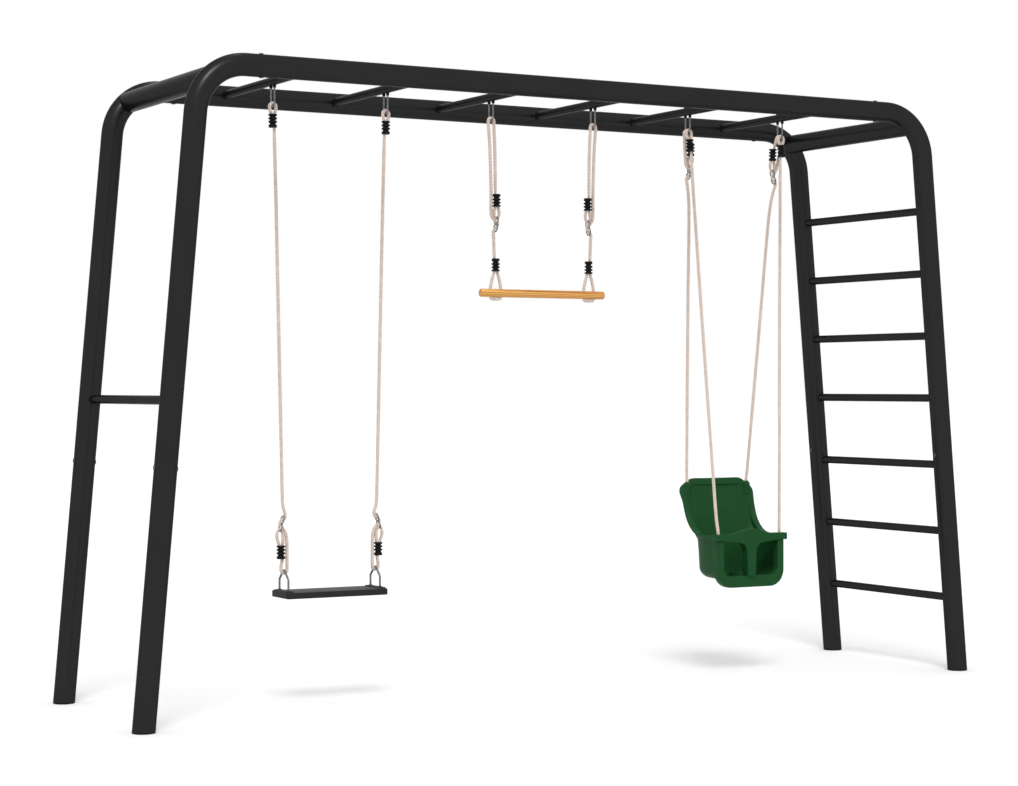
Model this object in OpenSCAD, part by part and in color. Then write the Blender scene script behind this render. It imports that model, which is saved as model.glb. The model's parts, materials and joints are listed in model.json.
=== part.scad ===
// Climbing and swing frame: two bent tube loops joined by overhead rungs, a ladder end and
// end cross tubes, with a belt-height swing, a trapeze and a bucket seat hung on ropes.
// Millimetres. X runs along the frame, Y across it (front is -Y), Z up from the ground.

/* [Frame] */
// Height of the rail centre lines above the ground
rail_z = 2270; // [2200:10:2400]
// Distance between the front and back tube centre lines
frame_depth = 837; // [780:1:900]
// Half the length between the virtual corners of rail and leg centre lines
corner_x = 1559; // [1540:1:1620]
// Lean of the legs from vertical, in degrees
leg_lean = 5.06; // [4.5:0.01:5.5]
// Outer diameter of rails and legs
tube_d = 80; // [78:1:84]
// Wall thickness of rails, legs and cross tubes
tube_wall = 2.5; // [2:0.5:3]
// Centre-line radius of the four corner bends
bend_r = 185; // [170:5:190]
// Straight length between a bend and the rail joint
rail_stub = 35; // [30:1:60]
// Height of the joints between lower and upper legs
leg_joint_z = 910; // [880:1:940]
// Outer diameter of the end cross tubes
cross_d = 78; // [70:1:78]
// Thickness of the plastic foot under each leg
foot_t = 6; // [4:1:10]

/* [Rungs] */
// Outer diameter of every rung
rung_d = 32; // [30:1:36]
// Wall thickness of every rung
rung_wall = 2; // [1.5:0.5:3]
// Distance between overhead rungs
rung_pitch = 455.5; // [450:0.5:460]
// Height of the lowest ladder rung
ladder_low_z = 298.5; // [290:0.5:305]
// Pitch of the ladder rungs in the lower legs
ladder_low_pitch = 273; // [270:1:276]
// Pitch of the ladder rungs in the upper legs
ladder_high_pitch = 254.3; // [252:0.1:256]

/* [Hangers] */
// Height of the hanging points below the rung centre lines
hanger_drop = 74; // [72:1:80]
// Diameter of the hanger rod
hanger_rod = 6.5; // [6:0.5:6.5]
// Distance between the two legs of a hanger
hanger_w = 32; // [32:1:34]
// Place of the swing across the frame
swing_y = -70; // [-90:1:0]
// Place of the trapeze across the frame
trapeze_y = -55; // [-90:1:0]
// Place of the bucket seat across the frame
bucket_y = -40; // [-60:1:0]

/* [Ropes] */
// Diameter of all the ropes
rope_d = 12; // [11:0.5:12]
// Outer diameter of the ribs of a rope ferrule
ferrule_d = 31; // [30:1:32]
// Height of a rope ferrule
ferrule_h = 49; // [46:1:50]
// Rod diameter of an adjuster ring
adjuster_rod = 5.5; // [5:0.5:6]
// Centre-line radius of each of an adjuster's two rings
adjuster_r = 14.5; // [14:0.5:15]

/* [Swing] */
// Length of the swing seat
seat_len = 404; // [400:1:440]
// Depth of the swing seat
seat_depth = 150; // [140:1:180]
// Thickness of the swing seat
seat_t = 27; // [24:1:32]
// Height of the top of the swing seat
seat_top_z = 424; // [415:1:430]
// Rod diameter of the two stirrups
stirrup_rod = 8; // [7:0.5:8]
// Distance between the legs of a stirrup
stirrup_w = 80; // [70:1:90]

/* [Trapeze] */
// Length of the trapeze bar
bar_len = 553; // [540:1:600]
// Diameter of the trapeze bar
bar_d = 32; // [30:1:34]
// Height of the trapeze bar's centre line
bar_z = 1522; // [1515:1:1530]

/* [Hidden] */
$fn = 48;

half_depth = frame_depth / 2;
bend_turn = 90 - leg_lean;
tangent_len = bend_r * tan(bend_turn / 2);
bend_start_x = corner_x - tangent_len;
bend_centre_z = rail_z - bend_r;
rail_joint_x = bend_start_x - rail_stub;
leg_joint_t = (rail_z - leg_joint_z) / cos(leg_lean);
leg_end_t = (rail_z + tube_d) / cos(leg_lean);
straight_more = 0.2;
tube_bore = tube_d - 2 * tube_wall;
cross_x = bend_start_x + bend_r * sin(bend_turn / 2);
cross_z = bend_centre_z + bend_r * cos(bend_turn / 2);
sleeve_d = tube_bore - 0.4;
sleeve_len = 160;
bolt_d = 8;
bolt_hole_d = 8.2;
bolt_head_d = 16;
bolt_head_h = 2.5;
bolt_offset = 22;
ladder_split = 3;
pivot_z = rail_z - hanger_drop;
hanger_top = 14;
nut_d = 12;
nut_h = 9;
swing_x = -2 * rung_pitch;
trapeze_x = 0;
bucket_x = 2 * rung_pitch;
hook_half = rung_pitch / 2;
strand_gap = 5.6;
ferrule_bore = 0.9 * rope_d + 0.4;
adjuster_step = 27.5;
apex_r = 11;
shoulder_z = 466;
stirrup_foot_d = 24;
stirrup_s = 184;
bar_hole_s = [186.5, 229.5];
rope_hole_d = rope_d + 1;
knot_d = 20;
corner_s = 147;
guard_s = 150;
shell_wall = 6;

black = [0.13, 0.13, 0.14];
steel = [0.62, 0.64, 0.66];
rope_colour = [0.86, 0.78, 0.70];
green = [0.07, 0.30, 0.12];

function rung_x(i) = (i - 3.5) * rung_pitch;
function ladder_z(i) = i <= ladder_split
    ? ladder_low_z + (i - 1) * ladder_low_pitch
    : ladder_low_z + ladder_split * ladder_low_pitch + (i - 1 - ladder_split) * ladder_high_pitch;
function hanger_y(i) = i <= 2 ? swing_y : i <= 4 ? trapeze_y : bucket_y;

// ---- placing helpers ------------------------------------------------------------------

// Puts a child that is drawn down the +Z axis from the origin along a leg of the right end
module along_leg(side = 1, y = 0) {
    mirror([side < 0 ? 1 : 0, 0, 0])
        translate([corner_x, y, rail_z])
            rotate([0, 180 - leg_lean, 0])
                children();
}

module rod_y(d, len, x = 0, z = 0) {
    translate([x, 0, z])
        rotate([90, 0, 0])
            cylinder(d = d, h = len, center = true);
}

module ring(d, bore, h) {
    difference() {
        cylinder(d = d, h = h);
        translate([0, 0, -1]) cylinder(d = bore, h = h + 2);
    }
}

// ---- frame ----------------------------------------------------------------------------

module rail(y) {
    color(black)
        difference() {
            translate([-rail_joint_x, y, rail_z])
                rotate([0, 90, 0])
                    ring(tube_d, tube_bore, 2 * rail_joint_x);
            for (side = [-1, 1]) rail_bolt_hole(side, y);
        }
}

module rail_bolt_hole(side, y) {
    translate([side * (rail_joint_x - bolt_offset), y, rail_z])
        cylinder(d = bolt_hole_d, h = tube_d + 10, center = true);
}

module leg_bolt_hole(side, y) {
    along_leg(side, y)
        translate([0, 0, leg_joint_t + bolt_offset])
            rotate([0, 90, 0])
                cylinder(d = bolt_hole_d, h = tube_d + 10, center = true);
}

// Solid of the bend: the swept disc of the given diameter round the corner
module bend_solid(d) {
    translate([bend_start_x, 0, bend_centre_z])
        rotate([90, 0, 0])
            rotate([0, 0, leg_lean])
                rotate_extrude(angle = bend_turn, $fn = 160)
                    translate([bend_r, 0])
                        circle(d = d, $fn = 48);
}

// Solid of a rail stub, bend and leg half; the straight parts lap a hair over the bend's ends
module upper_leg_core(d, more) {
    lap = 2;
    straight_d = d + straight_more;
    translate([rail_joint_x - more, 0, rail_z])
        rotate([0, 90, 0])
            cylinder(d = straight_d, h = rail_stub + more + lap);
    bend_solid(d);
    along_leg()
        translate([0, 0, tangent_len - lap])
            cylinder(d = straight_d, h = leg_joint_t - tangent_len + lap + more);
}

module upper_leg(side, y) {
    color(black)
        mirror([side < 0 ? 1 : 0, 0, 0])
            translate([0, y, 0])
                difference() {
                    upper_leg_core(tube_d, 0);
                    upper_leg_core(tube_bore, 5);
                }
}

module lower_leg(side, y) {
    color(black)
        difference() {
            along_leg(side, y)
                translate([0, 0, leg_joint_t])
                    ring(tube_d, tube_bore, leg_end_t - leg_joint_t);
            below_ground(foot_t);
            leg_bolt_hole(side, y);
        }
}

module below_ground(top) {
    translate([-2500, -1500, top - 400]) cube([5000, 3000, 400]);
}

module foot_plugs() {
    color("black")
        for (side = [-1, 1], y = [-half_depth, half_depth])
            difference() {
                union() {
                    intersection() {
                        along_leg(side, y) cylinder(d = tube_d, h = leg_end_t);
                        translate([-2500, -1500, 0]) cube([5000, 3000, foot_t]);
                    }
                    intersection() {
                        along_leg(side, y) cylinder(d = tube_bore - 0.4, h = leg_end_t);
                        translate([-2500, -1500, foot_t]) cube([5000, 3000, 30]);
                    }
                }
                below_ground(0);
            }
}

module joint_sleeves() {
    color("dimgray")
        for (side = [-1, 1], y = [-half_depth, half_depth]) {
            difference() {
                mirror([side < 0 ? 1 : 0, 0, 0])
                    translate([rail_joint_x - sleeve_len / 2, y, rail_z])
                        rotate([0, 90, 0])
                            ring(sleeve_d, sleeve_d - 5, sleeve_len / 2 + rail_stub - 5);
                rail_bolt_hole(side, y);
            }
            difference() {
                along_leg(side, y)
                    translate([0, 0, leg_joint_t - sleeve_len / 2])
                        ring(sleeve_d, sleeve_d - 5, sleeve_len);
                leg_bolt_hole(side, y);
            }
        }
}

// A bolt through a tube along Z, with two low heads that follow the tube's outside along X
module joint_bolt() {
    cylinder(d = bolt_d, h = tube_d, center = true);
    difference() {
        cylinder(d = bolt_head_d, h = tube_d + 2 * bolt_head_h, center = true);
        rotate([0, 90, 0]) cylinder(d = tube_d, h = 2 * bolt_head_d, center = true);
    }
}

module joint_bolts() {
    color("dimgray")
        for (side = [-1, 1], y = [-half_depth, half_depth]) {
            translate([side * (rail_joint_x - bolt_offset), y, rail_z]) joint_bolt();
            along_leg(side, y)
                translate([0, 0, leg_joint_t + bolt_offset])
                    rotate([0, 90, 0]) joint_bolt();
        }
}

module cross_tube(side) {
    color(black)
        mirror([side < 0 ? 1 : 0, 0, 0])
            difference() {
                rod_y(cross_d, frame_depth, cross_x, cross_z);
                rod_y(cross_d - 2 * tube_wall, frame_depth + 2, cross_x, cross_z);
                for (y = [-half_depth, half_depth])
                    translate([0, y, 0]) bend_solid(tube_d);
            }
}

// ---- rungs ----------------------------------------------------------------------------

module rung_tube(x, z) {
    difference() {
        rod_y(rung_d, frame_depth, x, z);
        rod_y(rung_d - 2 * rung_wall, frame_depth + 2, x, z);
    }
}

module overhead_rung(i) {
    color(black)
        difference() {
            rung_tube(rung_x(i), rail_z);
            for (y = [-half_depth, half_depth])
                translate([rung_x(i) - 50, y, rail_z])
                    rotate([0, 90, 0])
                        cylinder(d = tube_d, h = 100);
            for (leg = [-0.5, 0.5])
                translate([rung_x(i), hanger_y(i) + leg * hanger_w, rail_z])
                    cylinder(d = hanger_rod, h = rung_d + 10, center = true);
        }
}

function leg_x(z) = corner_x + (rail_z - z) * tan(leg_lean);

module leg_rung(side, z) {
    color(black)
        difference() {
            rung_tube(side * leg_x(z), z);
            for (y = [-half_depth, half_depth])
                along_leg(side, y)
                    cylinder(d = z > leg_joint_z ? tube_d + straight_more : tube_d, h = leg_end_t);
        }
}

// ---- hangers --------------------------------------------------------------------------

// U-shaped rod in the Y-Z plane: the bottom arc is centred on the origin, legs rise to top
module hanger_rod_u(top) {
    rotate([0, 90, 0])
        rotate([0, 0, -90])
            rotate_extrude(angle = 180)
                translate([hanger_w / 2, 0])
                    circle(d = hanger_rod);
    for (leg = [-0.5, 0.5])
        translate([0, leg * hanger_w, 0])
            cylinder(d = hanger_rod, h = top);
}

module hanger(i) {
    color(steel)
        translate([rung_x(i), hanger_y(i), pivot_z])
            hanger_rod_u(hanger_drop + rung_d / 2 + hanger_top);
}

module hanger_nuts() {
    color("black")
        for (i = [1 : 6], leg = [-0.5, 0.5])
            translate([rung_x(i), hanger_y(i) + leg * hanger_w, rail_z])
                difference() {
                    cylinder(d = nut_d, h = rung_d + 2 * nut_h, center = true);
                    cylinder(d = hanger_rod, h = rung_d + 4 * nut_h, center = true);
                    rotate([90, 0, 0]) cylinder(d = rung_d, h = 4 * nut_d, center = true);
                }
}

// ---- ropes ----------------------------------------------------------------------------

// Rope routes. Each point is [outward from the hook, across the frame, up from the hook pivot],
// and a fourth number is how far the rope is pressed together there, as a share of its diameter.

grip = 0.9;
pinch = 0.8;

// Rubber swing: tail, eye over the hanger, main run, woven through the adjuster, under the
// stirrup, up to the lower ferrule and its eye on the adjuster
swing_route = [[5.6, 0, -88, grip], [5.6, 0, -47, grip], [8.5, 0, -38], [11.5, 0, -28],
    [12, 0, -18.4], [10.4, 0, -12.4], [6, 0, -8], [0, 0, -6.4], [-6, 0, -8], [-10.4, 0, -12.4],
    [-12, 0, -18.4], [-11.5, 0, -28], [-8.5, 0, -38], [-5.6, 0, -47, grip], [-5.6, 0, -92, grip],
    [-7, 0, -150], [-13, 0, -370], [-18, 0, -590], [-23, 0, -810], [-28, 0, -1030],
    [-33, 0, -1250], [-37, 0, -1420], [-39, 0, -1462], [-44.5, 0, -1483], [-49.2, 0, -1499],
    [-45.4, 0, -1511.5], [-37.4, 0, -1516], [-29.8, 0, -1520.7, grip], [-26, 0, -1527.8, pinch],
    [-27.3, 0, -1534, pinch], [-31.4, 0, -1538.2, pinch], [-38.1, 0, -1544.2, pinch],
    [-44.3, 0, -1552, grip], [-49.4, 0, -1561], [-52, 0, -1571], [-54.4, 0, -1584],
    [-55.6, 0, -1602], [-55.8, 0, -1640], [-55.8, 0, -1682], [-55.8, 0, -1697.4], [-54.1, 0, -1703.4],
    [-49.8, 0, -1707.8], [-43.8, 0, -1709.4], [-37.8, 0, -1707.8], [-33.4, 0, -1703.4],
    [-31.8, 0, -1697.4], [-32.5, 0, -1682], [-35.5, 0, -1668], [-37.3, 0, -1656, grip],
    [-37.3, 0, -1611, grip], [-39.6, 0, -1597], [-40.6, 0, -1583], [-39, 0, -1571],
    [-36.2, 0, -1561.5, grip], [-33, 0, -1554, pinch], [-26.6, 0, -1549.8, pinch],
    [-20.2, 0, -1554, pinch], [-17, 0, -1561.5, grip], [-15.6, 0, -1571], [-17, 0, -1583],
    [-21.5, 0, -1597], [-26.1, 0, -1611, grip], [-26.1, 0, -1652, grip]];

// Trapeze: tail in the lower ferrule, loop through the bar, up to the adjuster and woven through
// it, over the hanger, down to the upper ferrule and its eye on the adjuster
trapeze_route = [[-25.4, 0, -548, grip], [-25.4, 0, -590, grip], [-31.5, 0, -609],
    [-41.2, 0, -650], [-41.2, 0, -690], [-39.5, 0, -694.5], [-35, 0, -696.5], [-20, 0, -697],
    [-5, 0, -696.5], [0.2, 0, -694.5], [1.8, 0, -690], [1.8, 0, -650], [-8, 0, -609],
    [-14.2, 0, -590, grip], [-14.2, 0, -545, grip], [-13.4, 0, -525], [-12.6, 0, -505],
    [-11.6, 0, -480], [-10.8, 0, -462], [-10, 0, -450], [-9.8, 0, -439], [-13.4, 0, -430.5, grip],
    [-20, 0, -425.2, grip], [-26.6, 0, -419.4, pinch], [-29.2, 0, -412, pinch],
    [-27, 0, -405.9, pinch], [-22.4, 0, -402, pinch], [-15, 0, -397.4, pinch],
    [-7.8, 0, -390.6, grip], [-3, 0, -382], [-0.8, 0, -371], [0.5, 0, -350], [0, 0, -300],
    [1.5, 0, -230], [6.5, 0, -100], [12, 0, -27], [12, 0, -18.4], [10.4, 0, -12.4], [6, 0, -8],
    [0, 0, -6.4], [-6, 0, -8], [-10.4, 0, -12.4], [-12, 0, -18.4], [-12, 0, -27],
    [-16.5, 0, -130], [-18.2, 0, -250], [-18.2, 0, -297, grip], [-18.2, 0, -342, grip],
    [-14.8, 0, -355], [-13.2, 0, -365], [-13.8, 0, -374.5, grip], [-15.6, 0, -382.3, pinch],
    [-18.8, 0, -388.1, pinch], [-24, 0, -390.3, pinch], [-29.2, 0, -388.1, pinch],
    [-32.4, 0, -382.3, pinch], [-34.2, 0, -374.5, grip], [-34.8, 0, -365], [-33, 0, -355],
    [-29.4, 0, -342, grip], [-29.4, 0, -301, grip]];

// Bucket seat, back ropes: knot at the seat's top corner, woven through the adjuster, over the
// hanger, down to the ferrule and its eye on the adjuster
back_route = [[-80.8, 126, -1440], [-80.8, 126, -1421], [-78, 123, -1385], [-71, 111, -1240],
    [-62, 96, -1050], [-53, 79, -850], [-44, 63, -650], [-36, 46, -450], [-29.5, 35, -325],
    [-24.5, 30, -275], [-19, 26, -243], [-14, 23.5, -221], [-9.5, 21.5, -206],
    [-7.4, 20.5, -194.5], [-10.6, 20, -186.5, grip], [-17.2, 20, -182, grip],
    [-24.2, 20, -176.8, pinch], [-27.6, 20, -169.8, pinch], [-26, 20, -163.5, pinch],
    [-21.8, 20, -159.4, pinch], [-14.8, 20, -153.9, pinch], [-8.2, 19.5, -146.5, grip],
    [-4.2, 19, -137.5], [-1.9, 18.3, -127.5], [0.6, 16.5, -112], [3.6, 14, -90], [8, 10.5, -60],
    [11.4, 7.5, -35], [12, 6.2, -13.6], [10.4, 6.2, -7.6], [6, 6.2, -3.2], [0, 6.2, -1.6],
    [-6, 6.2, -3.2], [-10.4, 6.2, -7.6], [-12.5, 6.2, -13.6], [-16.5, 9.5, -32],
    [-19.4, 14.6, -54, grip], [-19.4, 17, -99, grip], [-15.8, 18.6, -113], [-14.6, 19.4, -125],
    [-15.8, 19.8, -133.5, grip], [-17.6, 20, -140.2, pinch], [-20.2, 20, -145.6, pinch],
    [-24.6, 20, -147.8, pinch], [-29, 20, -145.6, pinch], [-31.8, 20, -140.2, pinch],
    [-34, 20, -133.5, grip], [-35.4, 19.4, -125], [-34.8, 18.6, -113], [-30.6, 17, -99, grip],
    [-30.6, 15, -58, grip]];

// Bucket seat, front ropes: tail, eye over the hanger, main run down to the guard bar
front_route = [[3.6, -13.2, -82, grip], [3.6, -11, -41, grip], [8, -8.4, -31], [11.4, -6.4, -22],
    [12, -6.2, -13.6], [10.4, -6.2, -7.6], [6, -6.2, -3.2], [0, -6.2, -1.6], [-6, -6.2, -3.2],
    [-10.4, -6.2, -7.6], [-12, -6.2, -13.6], [-12.4, -6.4, -22], [-10.6, -8.4, -31],
    [-7.6, -11, -41, grip], [-7.6, -13.4, -86, grip], [-9.6, -15.5, -150], [-18, -26, -350],
    [-27, -37, -550], [-36, -48, -750], [-45, -60, -950], [-54, -72, -1150], [-63, -84, -1350],
    [-73, -97, -1560], [-77.8, -103, -1620], [-77.8, -103, -1653]];

rope_sides = 8;

function unit(v) = v / norm(v);
function place(p) = [p[0], p[1], p[2]];
function press(p) = len(p) > 3 ? p[3] : 1;
function tangent(p, i) = unit(place(p[min(i + 1, len(p) - 1)]) - place(p[max(i - 1, 0)]));

// Closed tube of the rope's diameter with one ring of corners at each point of its route
module rope_tube(route) {
    last = len(route) - 1;
    corners = [for (i = [0 : last])
        let (t = tangent(route, i), a = unit(cross([0, 1, 0], t)), b = cross(t, a))
            for (k = [0 : rope_sides - 1])
                let (w = 360 * k / rope_sides)
                    place(route[i]) + press(route[i]) * rope_d / 2 * (cos(w) * a + sin(w) * b)];
    walls = [for (i = [0 : last - 1], k = [0 : rope_sides - 1])
        let (m = (k + 1) % rope_sides, p = i * rope_sides, q = p + rope_sides)
            each [[p + k, q + k, q + m], [p + k, q + m, p + m]]];
    ends = [[for (k = [0 : rope_sides - 1]) k],
        [for (k = [rope_sides - 1 : -1 : 0]) last * rope_sides + k]];
    polyhedron(points = corners, faces = concat(walls, ends), convexity = 10);
}

// Places children drawn in route coordinates at the left (-1) or right (1) hook of an accessory
module at_hook(x, y, side) {
    translate([x + side * hook_half, y, pivot_z])
        mirror([side < 0 ? 1 : 0, 0, 0])
            children();
}

// Ribbed clamp round two strands of rope: slotted core, three thin ribs and one thick end ring.
// Its top centre is at the origin, and the thick ring is at the bottom.
module ferrule() {
    rib_h = 4.5;
    rib_step = 11.5;
    end_h = 12;
    difference() {
        union() {
            translate([0, 0, -ferrule_h]) linear_extrude(ferrule_h) ferrule_outline(ferrule_bore + 2.6);
            for (i = [0 : 2])
                translate([0, 0, -i * rib_step - rib_h]) cylinder(d = ferrule_d, h = rib_h);
            translate([0, 0, -ferrule_h]) cylinder(d = ferrule_d - 1, h = end_h);
        }
        translate([0, 0, -ferrule_h - 1]) linear_extrude(ferrule_h + 2) ferrule_outline(ferrule_bore);
    }
}

module ferrule_outline(d) {
    for (s = [-strand_gap, strand_gap]) translate([s, 0]) circle(d = d);
    square([2 * strand_gap, d], center = true);
}

// Two rings of rod in one plane (Y-Z before tilting), hung with the top rod at the origin
module adjuster(tilt) {
    rotate([0, -tilt, 0])
        for (i = [0, 1])
            translate([0, 0, -adjuster_r - i * adjuster_step])
                rotate([0, 90, 0])
                    rotate_extrude()
                        translate([adjuster_r, 0])
                            circle(d = adjuster_rod);
}

// ---- rubber swing ---------------------------------------------------------------------

swing_adjuster_top = [-41, 0, -1502.5];
swing_tilt = 15;

module swing_rope(side) {
    color(rope_colour) at_hook(swing_x, swing_y, side) rope_tube(swing_route);
}

module swing_ferrules() {
    color("black")
        for (side = [-1, 1])
            at_hook(swing_x, swing_y, side) {
                translate([0, 0, -45]) ferrule();
                translate([-31.7, 0, -1609]) ferrule();
            }
}

module swing_adjusters() {
    color(steel)
        for (side = [-1, 1])
            at_hook(swing_x, swing_y, side)
                translate(swing_adjuster_top) adjuster(swing_tilt);
}

seat_pivot_z = 486;

// Bent rod from a narrow apex down to two legs, in the Y-Z plane; the apex arc is centred on
// the seat's pivot line
module stirrup(side) {
    drop = seat_pivot_z - shoulder_z;
    a = 90 - acos(apex_r / norm([stirrup_w / 2, drop])) + atan2(drop, stirrup_w / 2);
    elbow = apex_r * [sin(a), cos(a)];
    color(steel)
        translate([swing_x + side * stirrup_s, swing_y, seat_pivot_z]) {
            rotate([0, 90, 0])
                rotate([0, 0, 180 - a])
                    rotate_extrude(angle = 2 * a, $fn = 96)
                        translate([apex_r, 0])
                            circle(d = stirrup_rod, $fn = 48);
            for (m = [0, 1])
                mirror([0, m, 0]) {
                    stirrup_leg(elbow, [stirrup_w / 2, -drop]);
                    translate([0, stirrup_w / 2, -drop]) sphere(d = stirrup_rod + 1);
                    translate([0, stirrup_w / 2, seat_top_z + 5 - seat_pivot_z])
                        cylinder(d = stirrup_rod, h = shoulder_z - seat_top_z - 5);
                    translate([0, stirrup_w / 2, seat_top_z - seat_pivot_z])
                        cylinder(d1 = stirrup_foot_d, d2 = stirrup_rod + 4, h = 6);
                }
        }
}

// Straight rod between two points given as [y, z]; it laps a hair over the apex's end
module stirrup_leg(from, to) {
    lap = 0.5;
    run = to - from;
    start = from - lap * unit(run);
    translate([0, start[0], start[1]])
        rotate([atan2(-run[0], run[1]), 0, 0])
            cylinder(d = stirrup_rod + 0.4, h = norm(run) + lap);
}

module swing_seat() {
    corner_r = 12;
    color([0.16, 0.16, 0.17])
        translate([swing_x, swing_y, seat_top_z - seat_t])
            difference() {
                linear_extrude(seat_t) rounded_rectangle(seat_len, seat_depth, corner_r);
                for (side = [-1, 1])
                    translate([side * 75, 0, -1])
                        linear_extrude(9) rounded_rectangle(130, seat_depth - 36, corner_r);
            }
}

module rounded_rectangle(len, wid, r) {
    square([len - 2 * r, wid], center = true);
    square([len, wid - 2 * r], center = true);
    for (x = [-1, 1], y = [-1, 1])
        translate([x * (len / 2 - r), y * (wid / 2 - r)]) circle(r = r);
}

// ---- trapeze --------------------------------------------------------------------------

trapeze_adjuster_top = [-24.8, 0, -383];
trapeze_tilt = 6.5;

module trapeze_rope(side) {
    color(rope_colour) at_hook(trapeze_x, trapeze_y, side) rope_tube(trapeze_route);
}

module trapeze_ferrules() {
    color("black")
        for (side = [-1, 1])
            at_hook(trapeze_x, trapeze_y, side) {
                translate([-23.8, 0, -295 - ferrule_h]) rotate([180, 0, 0]) ferrule();
                translate([-19.8, 0, -542 - ferrule_h]) rotate([180, 0, 0]) ferrule();
            }
}

module trapeze_adjusters() {
    color(steel)
        for (side = [-1, 1])
            at_hook(trapeze_x, trapeze_y, side)
                translate(trapeze_adjuster_top) adjuster(trapeze_tilt);
}

module trapeze_bar() {
    dome = 4;
    color([0.80, 0.55, 0.25])
        translate([trapeze_x, trapeze_y, bar_z])
            difference() {
                rotate([0, 90, 0]) {
                    cylinder(d = bar_d, h = bar_len - 2 * dome, center = true);
                    for (m = [0, 1])
                        mirror([0, 0, m])
                            translate([0, 0, bar_len / 2 - dome])
                                cylinder(d1 = bar_d, d2 = bar_d - 2 * dome, h = dome);
                }
                for (side = [-1, 1], s = bar_hole_s)
                    translate([side * s, 0, 0])
                        cylinder(d = rope_hole_d, h = bar_d + 4, center = true);
            }
}

// ---- bucket seat ----------------------------------------------------------------------

bucket_adjuster_top = [-26, 20, -140.5];
bucket_tilt = 12;

module bucket_rope(side, route) {
    color(rope_colour) at_hook(bucket_x, bucket_y, side) rope_tube(route);
}

module bucket_ferrules() {
    color("black")
        for (side = [-1, 1])
            at_hook(bucket_x, bucket_y, side) {
                translate([-2, -10.9, -39]) rotate([-3, 0, 0]) ferrule();
                translate([-25, 14.5, -53]) rotate([3, 0, 0]) ferrule();
            }
}

module bucket_adjusters() {
    color(steel)
        for (side = [-1, 1])
            at_hook(bucket_x, bucket_y, side)
                translate(bucket_adjuster_top) adjuster(bucket_tilt);
}

module bucket_knots() {
    color(rope_colour)
        for (side = [-1, 1])
            at_hook(bucket_x, bucket_y, side) {
                translate([-80.8, 126, -1440 - knot_d / 2]) knot();
                translate([-77.8, -103, -1653 - knot_d / 2]) knot();
            }
}

module knot() {
    intersection() {
        sphere(d = knot_d + 2);
        cylinder(d = knot_d, h = knot_d, center = true);
    }
}

// Levels of the bucket's wall, from the pan up: [height, half width at the front edge,
// place of the front edge, place of the back, width at the back over width at the front]
bucket_levels = [[398, 144, -140, 18, 0.88], [425, 153, -140, 34, 0.92], [460, 156, -140, 40, 0.94],
    [500, 157, -140, 42, 0.94], [545, 158, -140, 48, 0.94], [567, 162, -52, 54, 0.94],
    [587, 165, 4, 60, 0.94], [624, 167, 32, 70, 0.94], [668, 168, 50, 80, 0.94],
    [708, 169, 60, 90, 0.95], [742, 172, 70, 98, 0.96], [763, 158, 86, 104, 0.97],
    [780, 133, 96, 107, 0.98]];
bucket_steps = 20;
bucket_squareness = 2 / 5;

// Point of the wall's plan at angle w: 0 at the right front edge, 90 at the back, 180 at the left
function plan_point(level, w, inset) =
    let (depth = level[3] - inset - level[2],
         back = pow(sin(w), bucket_squareness),
         side = sign(cos(w)) * pow(abs(cos(w)), bucket_squareness),
         half = (level[1] - inset) * (1 - (1 - level[4]) * back))
        [half * side, level[2] + depth * back, level[0]];

function wall_ring(level) = concat(
    [for (k = [0 : bucket_steps]) plan_point(level, 180 * k / bucket_steps, 0)],
    [for (k = [bucket_steps : -1 : 0]) plan_point(level, 180 * k / bucket_steps, shell_wall)]);

module bucket_wall() {
    rings = [for (level = bucket_levels) wall_ring(level)];
    n = len(rings[0]);
    top = len(rings) - 1;
    walls = [for (i = [0 : top - 1], k = [0 : n - 1])
        let (m = (k + 1) % n, p = i * n, q = p + n)
            each [[p + k, q + k, q + m], [p + k, q + m, p + m]]];
    // The ring is a thin curved strip, so its ends are closed by one quad for each step
    strip = [for (k = [0 : bucket_steps - 1]) [k, k + 1, n - 2 - k, n - 1 - k]];
    bottom = [for (f = strip) each [[f[0], f[1], f[2]], [f[0], f[2], f[3]]]];
    lid = [for (f = strip) each [[f[2], f[1], f[0]], [f[3], f[2], f[0]]]];
    lid_up = [for (f = lid) [for (v = f) v + top * n]];
    polyhedron(points = [for (r = rings) each r], faces = concat(walls, bottom, lid_up),
        convexity = 10);
}

module bucket_pan() {
    low = bucket_levels[0];
    translate([0, 0, 388])
        linear_extrude(10)
            polygon([for (k = [0 : bucket_steps])
                let (p = plan_point(low, 180 * k / bucket_steps, 0)) [p[0], p[1]]]);
}

front_y = -160;
front_t = 34;
guard_proud = 6;
lip_low = 357;
lip_high = 403;
opening_in = 30;
opening_out = 131;
front_half = 161;
guard_under = 545;

// Front panel with its two leg openings, as an outline in X-Z
module bucket_front() {
    corner_r = 66;
    inner_r = 34;
    translate([0, front_y + front_t, 0])
        rotate([90, 0, 0])
            linear_extrude(front_t)
                difference() {
                    union() {
                        translate([-front_half, lip_low + corner_r])
                            square([2 * front_half, guard_under - lip_low - corner_r]);
                        translate([-front_half + corner_r, lip_low])
                            square([2 * (front_half - corner_r), corner_r + 1]);
                        for (s = [-1, 1])
                            translate([s * (front_half - corner_r), lip_low + corner_r])
                                circle(r = corner_r);
                    }
                    translate([-opening_out, lip_high + inner_r]) square([2 * opening_out, 200]);
                    translate([inner_r - opening_out, lip_high])
                        square([2 * (opening_out - inner_r), inner_r + 1]);
                    for (s = [-1, 1])
                        translate([s * (opening_out - inner_r), lip_high + inner_r])
                            circle(r = inner_r);
                }
}

module bucket_ears() {
    for (s = [-1, 1])
        translate([s * corner_s, bucket_ear_y, 730])
            cylinder(d = 34, h = 39);
}

bucket_ear_y = bucket_y + 126;
guard_y = bucket_y - 103;

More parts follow.
